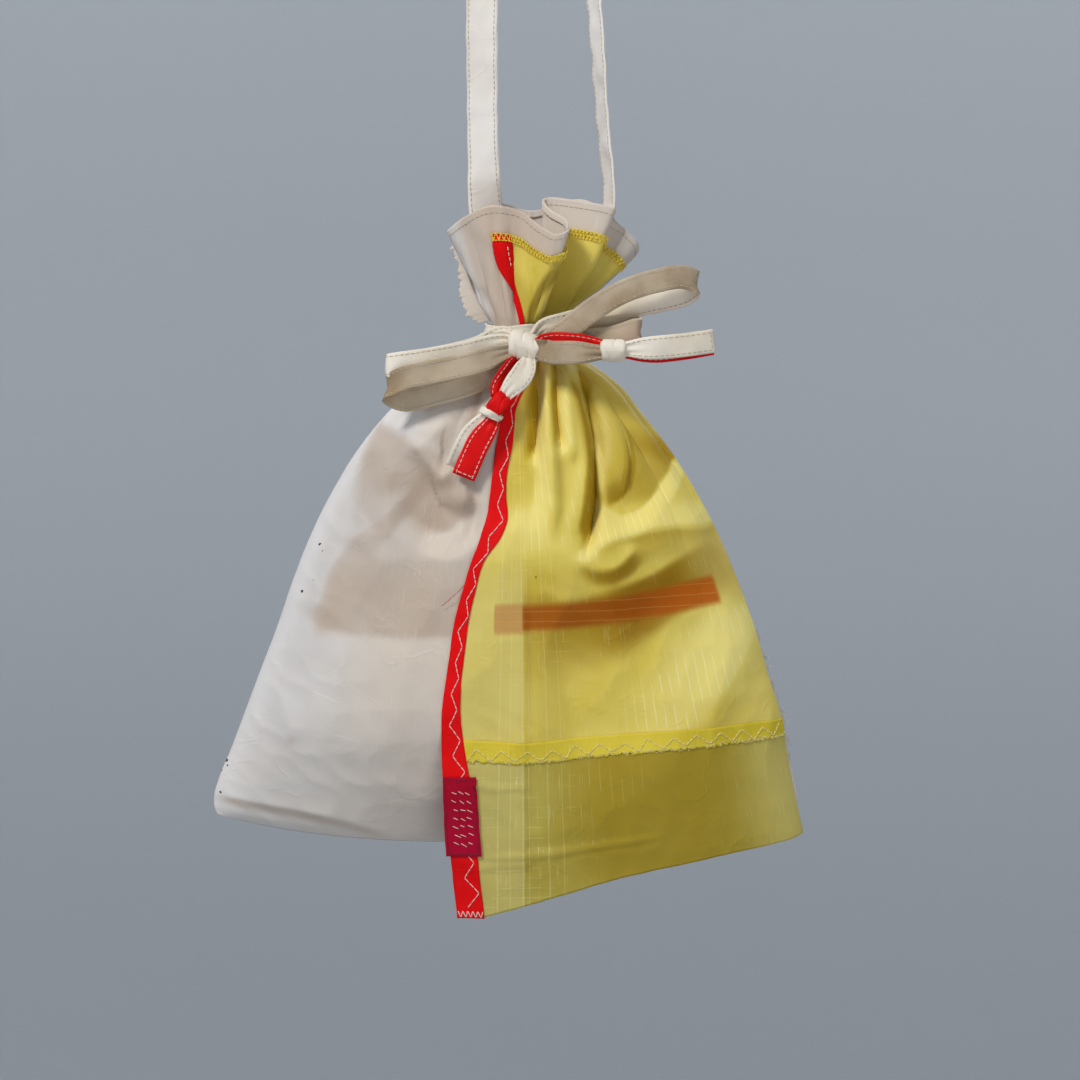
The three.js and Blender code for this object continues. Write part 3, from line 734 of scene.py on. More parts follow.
class ClothFinish:
    """A cloth material: its tree, its cloth coordinates, and the weave and soil its colour starts from."""

    def __init__(self, name, colour, worn, pitch, ripstop, roughness, bump):
        uneven, relief, crinkled, sheen = 0.08, 0.0004, 0.3, 0.15
        self.material, self.tree, self.shader = new_material(name)
        self.cloth = add_node(self.tree, "ShaderNodeUVMap", uv_map="cloth").outputs["UV"]
        weave = {"Cloth": self.cloth, "Pitch": pitch, "Ripstop": ripstop}
        self.weave = place_group(self.tree, WEAVE, weave)
        self.soil = place_group(self.tree, SOIL, {"Cloth": self.cloth})
        self.colour = mixed(self.tree, self.soil["Blotch"], linear(*colour), linear(*worn))
        rough = (roughness - uneven, roughness + uneven)
        self.roughness = ramp(self.tree, self.soil["Grain"], 0.3, 0.7, *rough)
        creased = {"Height": self.soil["Crinkle"], "Strength": crinkled, "Distance": relief}
        creases = add_node(self.tree, "ShaderNodeBump", creased).outputs["Normal"]
        height = maths(self.tree, "ADD", self.weave["Height"], self.soil["Grain"])
        woven = {"Height": height, "Strength": bump, "Distance": relief, "Normal": creases}
        threads = add_node(self.tree, "ShaderNodeBump", woven).outputs["Normal"]
        self.tree.links.new(threads, self.shader.inputs["Normal"])
        self.shader.inputs["Specular IOR Level"].default_value = sheen

    def split(self):
        """The cloth coordinates across and down."""
        made = add_node(self.tree, "ShaderNodeSeparateXYZ", {0: self.cloth})
        return made.outputs["X"], made.outputs["Y"]

    def painted_shade(self):
        """The painted shade of the folds: 0 on faces turned to the light, 1 on faces turned from it."""
        return add_node(self.tree, "ShaderNodeAttribute", attribute_name="painted_shade").outputs["Fac"]

    def line(self, start, end, width):
        """A thin straight line between two places on the cloth, fading at both ends."""
        way = np.array(end) - np.array(start)
        length = float(np.hypot(*way))
        over, under = (float(share) for share in way / length)
        places = zip(self.split(), start)
        right, low = (maths(self.tree, "SUBTRACT", at, float(first)) for at, first in places)
        along = maths(self.tree, "ADD", self.both(right, over), self.both(low, under))
        beside = maths(self.tree, "SUBTRACT", self.both(right, under), self.both(low, over))
        thin = ramp(self.tree, maths(self.tree, "ABSOLUTE", beside), width, 0.3 * width)
        begun = ramp(self.tree, along, 0.0, 0.2 * length)
        return self.both(thin, self.both(begun, ramp(self.tree, along, length, 0.8 * length)))

    def patch(self, across, down, half_across, half_down):
        """A soft oval patch on the cloth."""
        away = 0.0
        for at, middle, half in zip(self.split(), (across, down), (half_across, half_down)):
            share = maths(self.tree, "DIVIDE", maths(self.tree, "SUBTRACT", at, middle), half)
            away = maths(self.tree, "ADD", self.both(share, share), away)
        return ramp(self.tree, away, 1.0, 0.45)

    def spot(self, across, drop, radius):
        """A spot of dirt at a place on the front."""
        centre = (*cloth_place(front_turn(across, drop), drop), 0.0)
        inputs = {"Cloth": self.cloth, "Centre": centre, "Radius": radius * MM}
        return place_group(self.tree, SPOT, inputs)["Mask"]

    def both(self, first, second):
        return maths(self.tree, "MULTIPLY", first, second)

    def tint(self, colour, share, *masks):
        """Mixes in a colour by a share where all the masks are full."""
        for mask in masks:
            share = self.both(mask, share)
        self.colour = mixed(self.tree, share, self.colour, linear(*colour))

    def done(self):
        self.tree.links.new(self.colour, self.shader.inputs["Base Color"])
        self.tree.links.new(self.roughness, self.shader.inputs["Roughness"])
        return self.material


# Spacing of the threads and of the thicker ripstop threads, in metres.
SAIL_PITCH, WHITE_RIPSTOP, YELLOW_RIPSTOP = 0.0007, 0.0052, 0.0056
TAPE_PITCH, TAPE_RIPSTOP = 0.0009, 0.02

# Dirt on the white cloth: across and drop on the front, and radius.
SPECKS = [
    (-107, 113.4, 0.9),
    (-105.7, 116.9, 0.6),
    (-117.2, 139.4, 1.0),
    (-110.7, 132.7, 0.5),
    (-162.5, 243.2, 1.3),
    (-160.8, 246, 0.8),
    (-166.5, 250.5, 0.7),
    (-165, 264.8, 0.9),
]

# Pale scratches on the white cloth: across and drop at both ends.
SCRATCHES = [((-112, 192), (-94, 198)), ((-99.5, 215), (-83, 219)), ((-122, 227), (-110, 231))]
SCRATCH_WIDTH = 0.25


def front_turn(across, drop):
    """The turn of a place on the pouch's front."""
    left, right = smooth_rows(POUCH_SECTIONS, drop)[:2]
    share = across / (left if across < 0 else right)
    return math.degrees(math.acos(-max(-1, min(1, share))))


def white_cloth():
    """White ripstop, warmer where other cloth shows through, with painted shade in its folds and painted
    light at its left edge and foot.
    """
    threads = (SAIL_PITCH, WHITE_RIPSTOP)
    finish = ClothFinish("white_sail_cloth", (213, 211, 211), (206, 201, 198), *threads, 0.5, 0.12)
    tree, both = finish.tree, finish.both
    across, down = finish.split()
    painted_shade = finish.painted_shade()
    front = ramp(tree, across, 0.3, 0.2)
    back = ramp(tree, across, 0.2, 0.3)
    inner = both(ramp(tree, across, -0.125, -0.06), front)
    ruffle = both(ramp(tree, down, 0.012, -0.004), ramp(tree, across, 0.11, 0.05))
    foot = ramp(tree, down, 0.19, 0.25)
    painted_sheen_edge = ramp(tree, across, -0.132, -0.146)
    finish.tint((208, 194, 179), 0.7, inner)
    finish.tint((208, 196, 183), 0.5, back)
    finish.tint((206, 187, 170), 0.8, ruffle, front)
    # Painted light over the foot of the front, which faces down.
    finish.tint((242, 235, 226), 0.3, foot, front)
    # Painted sheen along the left edge of the front.
    finish.tint((230, 229, 230), 0.6, painted_sheen_edge, front)
    # Painted shade on faces turned from the light.
    finish.tint((192, 169, 147), 0.5, ramp(tree, painted_shade, 0.5, 0.85))
    # Painted shade over the upper fold left of the apron, as a band and a soft patch.
    left_fold = maths(tree, "SUBTRACT", across, maths(tree, "MULTIPLY", down, 0.52))
    top_fold = maths(tree, "SUBTRACT", down, maths(tree, "MULTIPLY", across, 0.2))
    beside = both(ramp(tree, left_fold, -0.18, -0.168), ramp(tree, across, -0.055, -0.075))
    upper = both(beside, both(ramp(tree, top_fold, 0.0735, 0.08), ramp(tree, down, 0.118, 0.07)))
    finish.tint((176, 159, 144), 0.66, upper)
    finish.tint((180, 158, 139), 0.5, finish.patch(-0.06, 0.086, 0.032, 0.022))
    # Painted shade over the lower fold left of the apron.
    middle = both(ramp(tree, across, -0.129, -0.119), both(front, ramp(tree, across, 0.0, -0.03)))
    lower = both(middle, both(ramp(tree, down, 0.104, 0.142), ramp(tree, down, 0.165, 0.158)))
    finish.tint((194, 173, 153), 0.5, lower)
    # Painted light on faces turned to the light, near the apron.
    finish.tint((220, 210, 197), 0.4, ramp(tree, painted_shade, 0.48, 0.25), inner)
    lines = both(finish.weave["Warp"], ramp(tree, finish.soil["Dash"], 0.5, 0.7))
    finish.tint((228, 224, 218), 0.22, lines, inner)
    finish.tint((226, 221, 214), 0.3, finish.soil["Slub"], inner)
    for speck in SPECKS:
        finish.tint((38, 36, 36), finish.spot(*speck))
    for ends in SCRATCHES:
        start, end = (cloth_place(front_turn(*place), place[1]) for place in ends)
        finish.tint((232, 230, 228), 0.7, finish.line(start, end, SCRATCH_WIDTH * MM))
    return finish.done()


# A spot on the yellow cloth: across, drop and radius.
YELLOW_SPOT = (10.6, 127, 0.9)

# Places across where thicker pale threads run down the yellow cloth, and how wide they are.
PALE_THREADS = [(-9, 0.5), (-3, 0.35), (3.4, 0.6), (6.4, 0.35), (16.5, 0.4), (24, 0.3)]


def yellow_cloth(name, colour, worn, deep, painted_light_share):
    """Yellow ripstop with painted shade deep in the folds and painted light where it faces the light, and
    thicker pale threads.
    """
    finish = ClothFinish(name, colour, worn, SAIL_PITCH, YELLOW_RIPSTOP, 0.46, 0.16)
    tree, both = finish.tree, finish.both
    across, down = finish.split()
    painted_shade = finish.painted_shade()
    edge = both(ramp(tree, across, 0.105, 0.14), ramp(tree, down, 0.085, 0.12))
    dashes = both(finish.weave["Warp"], ramp(tree, finish.soil["Dash"], 0.44, 0.56))
    rungs = both(finish.weave["Weft"], ramp(tree, finish.soil["Dash"], 0.5, 0.66))
    backed = both(ramp(tree, across, 0.0044, 0.0032), ramp(tree, down, 0.09, 0.15))
    # Painted shade: the given deep colour on faces turned from the light.
    finish.tint(deep, 0.9, ramp(tree, painted_shade, 0.48, 0.9))
    # Paler towards the lower right: painted light.
    finish.tint((246, 234, 156), 0.25, edge)
    # Painted light on faces turned to the light.
    finish.tint((248, 236, 152), painted_light_share, ramp(tree, painted_shade, 0.5, 0.2))
    # Painted highlight: the pale dashes brighten on faces turned to the light.
    finish.tint((252, 246, 190), 0.75, dashes, ramp(tree, painted_shade, 0.46, 0.3))
    finish.tint((238, 228, 150), 0.2, dashes, ramp(tree, painted_shade, 0.6, 0.4))
    finish.tint((236, 226, 150), 0.35, rungs, ramp(tree, across, 0.05, 0.02))
    finish.tint((236, 226, 146), 0.28, finish.soil["Slub"])
    finish.tint((214, 203, 132), 0.45, backed)
    for place, width in PALE_THREADS:
        away = maths(tree, "ABSOLUTE", maths(tree, "SUBTRACT", across, place * MM))
        thread = both(ramp(tree, away, width * MM, 0.4 * width * MM), ramp(tree, down, 0.02, 0.06))
        finish.tint((244, 236, 170), 0.45, thread, finish.soil["Grain"])
    return finish


def yellow_panel_cloth():
    """The yellow cloth with an orange stripe that shows through from behind, and painted shade on its right
    shoulder, under the stripe, towards the neck and along a fold in the ruffle.
    """
    # The third colour is the painted shade of the folds, and 0.5 is the share of painted light.
    finish = yellow_cloth("yellow_sail_cloth", (230, 211, 104), (220, 198, 80), (178, 140, 8), 0.5)
    tree, both = finish.tree, finish.both
    across, down = finish.split()
    slanted = maths(tree, "ADD", down, maths(tree, "MULTIPLY", across, 0.5))
    # Painted shade over the right shoulder, which slopes away from the light.
    painted_shoulder_shade = both(ramp(tree, across, 0.055, 0.09), ramp(tree, slanted, 0.139, 0.122))
    finish.tint((172, 142, 40), 0.36, painted_shoulder_shade, ramp(tree, down, 0.0, 0.03))
    # Painted shade in the dip under the orange stripe, deepest towards the right.
    under_stripe = both(ramp(tree, across, 0.04, 0.08), ramp(tree, across, 0.128, 0.1))
    deepest_painted_shade = both(ramp(tree, finish.painted_shade(), 0.58, 0.8), ramp(tree, down, 0.11, 0.135))
    finish.tint((150, 100, 0), 0.65, under_stripe, deepest_painted_shade)
    # Painted shade towards the gathered neck in the ruffle.
    gathered = both(ramp(tree, down, -0.046, -0.016), ramp(tree, down, 0.006, -0.004))
    finish.tint((156, 128, 34), 0.25, gathered)
    # Painted shade along a fold in the ruffle.
    finish.tint((140, 112, 26), 0.75, finish.line((0.055, -0.004), (0.1, -0.05), 0.012))
    shake = maths(tree, "MULTIPLY", maths(tree, "SUBTRACT", finish.soil["Grain"], 0.5), 0.0012)
    bowed = both(both(across, across), -0.45)
    middle = maths(tree, "ADD", both(across, -0.03), maths(tree, "ADD", bowed, 0.1495))
    level = maths(tree, "ADD", maths(tree, "ABSOLUTE", maths(tree, "SUBTRACT", down, middle)), shake)
    ends = both(ramp(tree, across, -0.0140, -0.0125), ramp(tree, across, 0.1345, 0.1305))
    stripe = both(ramp(tree, level, 0.0098, 0.0046), ends)
    finish.tint((172, 84, 0), 0.9, stripe)
    finish.tint((206, 104, 16), 0.6, stripe, ramp(tree, across, 0.07, 0.12))
    finish.tint((212, 172, 104), 0.75, stripe, ramp(tree, across, 0.0044, 0.0030))
    finish.tint((228, 176, 90), 0.3, stripe, finish.weave["Weft"])
    finish.tint((120, 104, 20), 0.7, finish.spot(*YELLOW_SPOT))
    return finish.done()


def yellow_band_cloth():
    """The lower band hangs free of the pouch, so it gets painted shade: a darker copy of the yellow cloth,
    darkest in its middle.
    """
    # The third colour is the painted shade of the folds, and 0.08 is the share of painted light.
    finish = yellow_cloth("shaded_olive_sail_cloth", (188, 173, 82), (176, 159, 62), (156, 133, 30), 0.08)
    across, down = finish.split()
    inner = finish.both(ramp(finish.tree, across, 0.01, 0.05), ramp(finish.tree, across, 0.15, 0.09))
    finish.tint((162, 138, 28), 0.85, inner, ramp(finish.tree, down, 0.312, 0.288))
    return finish.done()


def plain_cloth(name, colour, worn, roughness, bump=0.2, pale=(255, 255, 255), slub=0.12):
    """Plain woven cloth of one colour with paler threads."""
    finish = ClothFinish(name, colour, worn, TAPE_PITCH, TAPE_RIPSTOP, roughness, bump)
    finish.tint(pale, slub, finish.soil["Slub"])
    return finish.done()


def thread_finish(name, *colour):
    """Sewing thread with a fine twist."""
    twist_scale, shade = 2500.0, 0.72
    material, tree, shader = new_material(name)
    place = add_node(tree, "ShaderNodeTexCoord").outputs["Object"]
    twist = add_node(tree, "ShaderNodeTexNoise", {"Vector": place, "Scale": twist_scale, "Detail": 2.0})
    light = linear(*colour)
    dark = tuple(shade * value for value in light[:3]) + (1.0,)
    tree.links.new(mixed(tree, twist.outputs["Fac"], light, dark), shader.inputs["Base Color"])
    twisted = {"Height": twist.outputs["Fac"], "Strength": 0.4, "Distance": 0.0002}
    tree.links.new(add_node(tree, "ShaderNodeBump", twisted).outputs["Normal"], shader.inputs["Normal"])
    shader.inputs["Roughness"].default_value = 0.6
    return material


WHITE_CLOTH = white_cloth()
YELLOW_CLOTH = yellow_panel_cloth()
SHADED_BAND_CLOTH = yellow_band_cloth()
SEAM_CLOTH = plain_cloth(
    "doubled_yellow_cloth", (226, 206, 70), (212, 190, 48), 0.46, 0.2, (242, 228, 124), 0.4
)
RED_CLOTH = plain_cloth("red_cloth", (238, 2, 8), (224, 0, 5), 0.6, 0.2, (242, 30, 28))
RED_TAPE = plain_cloth("red_tape_cloth", (228, 10, 14), (206, 4, 10), 0.55, 0.2, (240, 50, 44))
LABEL_CLOTH = plain_cloth("magenta_cloth", (182, 2, 52), (166, 0, 28), 0.75, 0.4, (196, 16, 72))
CREAM_TAPE = plain_cloth("cream_tape_cloth", (202, 186, 164), (150, 129, 100), 0.65, 0.25, (220, 208, 188))
# A lighter copy of the cream tape: painted light for the inner face of the left front loop, which lies in
# shade.
LIGHTENED_TAPE = plain_cloth("lightened_tape_cloth", (220, 205, 182), (178, 157, 126), 0.65, 0.25, (232, 222, 204))
PALE_TAPE = plain_cloth("pale_tape_cloth", (240, 234, 222), (222, 211, 192), 0.65, 0.25, (246, 241, 230))
STRAP_CLOTH = plain_cloth("white_strap_cloth", (240, 236, 232), (228, 222, 216), 0.55, 0.25, (248, 246, 243))
CREAM_THREAD = thread_finish("cream_thread", 204, 192, 168)
WHITE_THREAD = thread_finish("white_thread", 244, 226, 216)
YELLOW_THREAD = thread_finish("yellow_thread", 250, 222, 72)
PALE_THREAD = thread_finish("pale_yellow_thread", 246, 234, 158)
GREY_THREAD = thread_finish("grey_white_thread", 210, 205, 197)
DARK_THREAD = thread_finish("dark_red_thread", 104, 2, 30)
RED_THREAD = thread_finish("red_thread", 190, 30, 34)


def stitch_shape():
    """One short stitch along X, from -1 to 1, even in thickness and rounded at the ends, and its corners."""
    bm = bmesh.new()
    bmesh.ops.create_uvsphere(bm, u_segments=6, v_segments=4, radius=1)
    ball = np.array([vert.co[:] for vert in bm.verts])
    ring = np.hypot(ball[:, 0], ball[:, 1])
    stretched = np.where(np.abs(ball[:, 2]) > 0.9, np.sign(ball[:, 2]), ball[:, 2] * 1.2)
    spread = np.where(ring > 0.1, 1 / np.maximum(ring, 0.1), 0)
    corners = np.column_stack([stretched, ball[:, 0] * spread, ball[:, 1] * spread])
    for vert, corner in zip(bm.verts, corners):
        vert.co = corner
    return finished_mesh("stitch", bm), corners


STITCH, STITCH_CORNERS = stitch_shape()


def add_stitches(name, slot, material, runs, width):
    """Joined stitches from runs of starts, ends and outward normals in millimetres, flat on the cloth."""
    flatness = 0.8
    starts, ends, outs = (np.concatenate(parts) for parts in zip(*runs))
    reach = np.linalg.norm(ends - starts, axis=1, keepdims=True)
    along = (ends - starts) / reach
    beside = np.cross(outs, along)
    beside /= np.linalg.norm(beside, axis=1, keepdims=True)
    out = np.cross(along, beside)
    shape = STITCH_CORNERS[None, :, :]
    corners = (
        ((starts + ends) / 2)[:, None, :]
        + along[:, None, :] * shape[..., :1] * reach[:, None, :] / 2
        + beside[:, None, :] * shape[..., 1:2] * width / 2
        + out[:, None, :] * shape[..., 2:] * width * flatness / 2
    )
    bm = bmesh.new()
    for _ in starts:
        bm.from_mesh(STITCH)
    for vert, corner in zip(bm.verts, corners.reshape(-1, 3) * MM):
        vert.co = corner
    return add_piece(name, finished_mesh(name, bm), slot, material)


def line_lengths(points):
    """The distance gone at each point of a line."""
    return np.concatenate([[0], np.cumsum(np.linalg.norm(np.diff(points, axis=0), axis=1))])


def running_stitches(points, outs, length=2.1, pitch=STITCH_PITCH):
    """A run of straight stitches along a line of points."""
    gone = line_lengths(points)
    firsts = np.arange(pitch / 4, gone[-1] - length, pitch)

    def at(values, places):
        return np.column_stack([np.interp(places, gone, values[:, k]) for k in range(3)])

    return at(points, firsts), at(points, firsts + length), at(outs, firsts + length / 2)


def seam_line(turn, drop, height, sections=APRON_SECTIONS):
    """A line on the cloth: its points in the shared frame, in millimetres, and its outward normals."""
    points, normals = face_frame(turn, drop, sections)
    return points + normals * height + NECK, normals


def zigzag_stitches(turn, drop, height, parts, cover=0.92):
    """A run of stitches between the corners of a zigzag, each leg in parts that follow the cloth."""
    corners = np.arange(len(turn))
    fine = np.linspace(0, len(turn) - 1, (len(turn) - 1) * parts + 1)
    points, outs = seam_line(np.interp(fine, corners, turn), np.interp(fine, corners, drop), height)
    gap = (points[1:] - points[:-1]) * (1 - cover) / 2
    return points[:-1] + gap, points[1:] - gap, outs[:-1]


def even_turns(start, stop, drop, spacing):
    """Turns at even distances along a line round the bag."""
    turn = np.linspace(start, stop, 800)
    gone = line_lengths(face_points(turn, drop, APRON_SECTIONS))
    return np.interp(np.arange(0, gone[-1], spacing), gone, turn)


def alternate(count, first, second):
    """Two values in turn."""
    return np.where(np.arange(count) % 2 == 0, first, second)


def pouch_drop(v):
    """Rows of the pouch from the bottom seam to the rim."""
    return np.interp(v, [0, 0.05, 0.75, 0.8, 1], [POUCH_BOTTOM, 262, 20, -RUFFLE_START, -RUFFLE_HEIGHT])


def front_columns(u):
    """Turns across the front, closer together where the white cloth shows."""
    share = np.interp(u, [0, 0.56, 1], [0, 0.47, 1])
    return 90 * share + 0.5 * np.degrees(np.arccos(np.clip(1 - 2 * share, -1, 1)))


def under_apron(turn, drop):
    """1 where the white cloth lies under the apron, 0 where it shows."""
    left = step_up(turn, red_turn(drop, -0.2), red_turn(drop, 0.8))
    right = step_up(apron_side(drop) - turn, 1, 6)
    return left * right * step_up(drop, APRON_TOP + 1, APRON_TOP + 8)


def make_pouch():
    """The front and back panels of white cloth, which meet at the sides and the bottom."""
    edges = [*make_hem(), make_seam_edge(), make_side_fringe()]
    panels = [
        ("white_front", 170, front_columns, edges),
        ("white_back", 80, lambda u: 180 + 180 * u, []),
    ]
    rows, sunk = 280, 1.2
    for name, columns, turn_at, with_edges in panels:

        def place(u, v):
            turn, drop = turn_at(u), pouch_drop(v)
            return to_frame(raised_points(turn, drop, -sunk * under_apron(turn, drop), POUCH_SECTIONS))

        mesh = sheet_mesh(
            name,
            columns,
            rows,
            place,
            lambda u, v: cloth_place(turn_at(u), pouch_drop(v)),
            painted_shade=lambda u, v: painted_shade_share(turn_at(u), pouch_drop(v), POUCH_SECTIONS),
        )
        panel = add_piece(name, mesh, "white_cloth", WHITE_CLOTH, nodes=["pouch"], wall=CLOTH, offset=-1)


def make_hem():
    """The turned-in edge of the rim on the inner face, and its stitches on both faces."""
    outer, inner = 0.15, -(CLOTH + 0.5)
    stitch_lift = 0.45

    def place(u, v):
        return to_frame(raised_points(360 * u, -RUFFLE_HEIGHT + HEM * (1 - v), inner, POUCH_SECTIONS))

    def flat(u, v):
        return cloth_place(360 * u, -RUFFLE_HEIGHT + HEM * (1 - v))

    mesh = sheet_mesh("hem", 320, 4, place, flat, closed=True)
    hem = add_piece("rim_hem", mesh, "white_cloth", WHITE_CLOTH, wall=CLOTH)
    turn = np.linspace(0, 360, 1200)
    drop = np.full(turn.shape, HEM - RUFFLE_HEIGHT - HEM_STITCH_IN)
    runs = []
    for height, front in ((outer, 1), (inner - stitch_lift, -1)):
        points, outs = seam_line(turn, drop, height, POUCH_SECTIONS)
        runs.append(running_stitches(points, outs * front))
    return hem, add_stitches("rim_hem_stitches", "white_cloth", CREAM_THREAD, runs, width=0.5)


def make_seam_edge():
    """The frayed seam edge that shows behind the left side of the ruffle."""
    side_turn, start, tall = 352.0, -8, 52
    behind, sag = 1.5, 0.25
    broad_fray, fine_fray = 1.2, 0.7

    def place(u, v):
        drop = start - tall * v
        width = np.interp(v, [0, 0.12, 0.3, 0.5, 1], [6, 11, 10, 6, 2.5])
        broad, fine = tape_crumple(drop * 4, drop), tape_crumple(drop * 11, drop)
        ragged = width + broad_fray * broad + fine_fray * fine
        base = face_points(np.full(u.shape, side_turn), drop, POUCH_SECTIONS)
        return to_frame(base + np.stack([-u * ragged, behind + u, -sag * u * ragged], axis=-1))

    mesh = sheet_mesh("seam_edge", 10, 90, place, lambda u, v: np.stack([0.01 * u, 0.05 * v], axis=-1))
    return add_piece("ruffle_seam_edge", mesh, "white_cloth", WHITE_CLOTH, wall=THIN_CLOTH)


def make_side_fringe():
    """Frayed threads of the right side seam, each in two bent parts."""
    count, top, bottom = 80, 160, 240
    draw = np.random.default_rng(31)
    drop = draw.uniform(top, bottom, count)
    points, _ = face_frame(draw.uniform(176, 184, count), drop, POUCH_SECTIONS)
    starts = points + NECK
    thick = np.interp(drop, [top, 185, 225, bottom], [0.3, 1, 1, 0.3])

    def wander(near, far, aside, low, high):
        across = draw.uniform(near, far, count) * thick
        depth = draw.uniform(-aside, aside, count)
        return np.stack([across, depth, draw.uniform(low, high, count)], axis=-1)

    bends = starts + wander(0.6, 3.0, 1.2, -3, 3)
    tips = bends + wander(0, 2.4, 1.5, -4, 2)
    outs = np.tile([0.1, -1.0, 0.1], (count, 1))
    runs = [(starts, bends, outs), (bends, tips, outs)]
    return add_stitches("side_fringe", "white_cloth", GREY_THREAD, runs, width=0.22)


def apron_mesh(name, columns, rows, turn_at, drop_at, height, flat=None):
    """A layer of the apron: turn_at(u, drop) and drop_at(u, v) say where it lies."""

    def spots(u, v):
        drop = drop_at(u, v)
        return turn_at(u, drop), drop

    return sheet_mesh(
        name,
        columns,
        rows,
        lambda u, v: to_frame(raised_points(*spots(u, v), height, APRON_SECTIONS)),
        flat or (lambda u, v: cloth_place(*spots(u, v))),
        painted_shade=lambda u, v: painted_shade_share(*spots(u, v), APRON_SECTIONS),
    )


def yellow_turn(u, drop):
    start = red_turn(drop, 0.7)
    return start + (apron_side(drop) - start) * u


def make_yellow_panel():
    """The yellow cloth from the ruffle down to the seam."""
    def drop_at(u, v):
        seam = band_edge(u)[0]
        return seam + (APRON_TOP - seam) * v

    mesh = apron_mesh("yellow_panel", 170, 270, yellow_turn, drop_at, LAYER)
    panel = add_piece(
        "yellow_apron_panel", mesh, "yellow_cloth", YELLOW_CLOTH, nodes=["yellow_panel"], wall=CLOTH
    )
    sewing = [make_overlock(), make_seam_lap(), make_seam_zigzag(), make_seam_fray()]


def make_overlock():
    """Dense yellow stitches over the top edge of the red and yellow cloth."""
    low, high = APRON_TOP + 3.4, APRON_TOP - 0.6
    spacing, length, pitch = 1.05, 1.6, 1.9
    start, stop = red_turn(APRON_TOP, -1), apron_side(APRON_TOP)
    lift = RED_LIFT + 0.4
    turn = even_turns(start, stop, APRON_TOP, spacing)
    runs = [zigzag_stitches(turn, alternate(len(turn), high, low), lift, parts=2, cover=1.0)]
    along = np.linspace(start, stop, 500)
    for drop in (low, high + 0.2):
        line = seam_line(along, np.full(along.shape, drop), lift + 0.2)
        runs.append(running_stitches(*line, length, pitch))
    return add_stitches("apron_top_stitches", "yellow_cloth", YELLOW_THREAD, runs, width=0.62)


def make_seam_lap():
    """The doubled cloth above the seam, with a frayed lower edge."""
    left_tall, narrowing, below = 11, 3.4, 1.0
    broad_fray, fine_fray = 0.6, 0.5
    lift = LAYER + 0.55

    def drop_at(u, v):
        frayed = broad_fray * tape_crumple(u * 900, 0 * u) + fine_fray * tape_crumple(u * 2600, 0 * u)
        return band_edge(u)[0] + (below + frayed) * (1 - v) - (left_tall - narrowing * u) * v

    mesh = apron_mesh("seam_lap", 260, 8, yellow_turn, drop_at, lift)
    return add_piece("yellow_seam_lap", mesh, "yellow_cloth", SEAM_CLOTH, wall=THIN_CLOTH)


def make_seam_zigzag():
    """The uneven zigzag along the seam."""
    leg, uneven, lean = 6.7, 0.7, 0.004
    low, high = 0.4, 5.6
    lift = LAYER + 0.95
    fine = np.linspace(0.008, 0.99, 400)
    seam = band_edge(fine)[0]
    gone = line_lengths(face_points(yellow_turn(fine, seam), seam, APRON_SECTIONS))
    share = np.interp(np.arange(0, gone[-1], leg), gone, fine)
    jitter = np.random.default_rng(17).uniform(-uneven, uneven, len(share))
    drop = band_edge(share)[0] - alternate(len(share), low, high) + jitter
    zigzag = zigzag_stitches(yellow_turn(share + lean * jitter, drop), drop, lift, parts=3)
    return add_stitches("yellow_seam_stitches", "yellow_cloth", PALE_THREAD, [zigzag], width=0.62)


def make_seam_fray():
    """Short loose threads along the seam."""
    count, reach, lift = 420, 1.6, LAYER + 0.8
    draw = np.random.default_rng(8)
    share = draw.uniform(0.005, 0.995, count)
    drop = band_edge(share)[0] + draw.uniform(-0.4, 1.0, count)
    starts, outs = seam_line(yellow_turn(share, drop), drop, lift)
    ends = starts + draw.uniform(-reach, reach, (count, 3)) * [1, 0.4, 0.9]
    return add_stitches("yellow_seam_fray", "yellow_cloth", PALE_THREAD, [(starts, ends, outs)], width=0.3)


def make_yellow_band():
    """The yellow cloth below the seam, which hangs free."""
    def drop_at(u, v):
        seam, bottom = band_edge(u)
        return bottom + (seam + 0.2 - bottom) * v

    mesh = apron_mesh("yellow_band", 120, 60, yellow_turn, drop_at, LAYER)
    band = add_piece(
        "yellow_apron_band", mesh, "yellow_cloth", SHADED_BAND_CLOTH, nodes=["yellow_band"], wall=CLOTH
    )


def make_red_strip():
    """The red tape along the left edge of the yellow cloth."""
    def drop_at(u, v):
        return RED_BOTTOM + (APRON_TOP - RED_BOTTOM) * v

    mesh = apron_mesh(
        "red_strip",
        14,
        300,
        lambda u, drop: red_turn(drop, 2 * u - 1),
        drop_at,
        RED_LIFT,
        lambda u, v: np.stack([u * 0.012, drop_at(u, v) * MM], axis=-1),
    )
    strip = add_piece("red_edge_strip", mesh, "red_cloth", RED_CLOTH, nodes=["red_strip"], wall=CLOTH)
    sewing = make_red_stitches()
    loose = make_loose_thread()


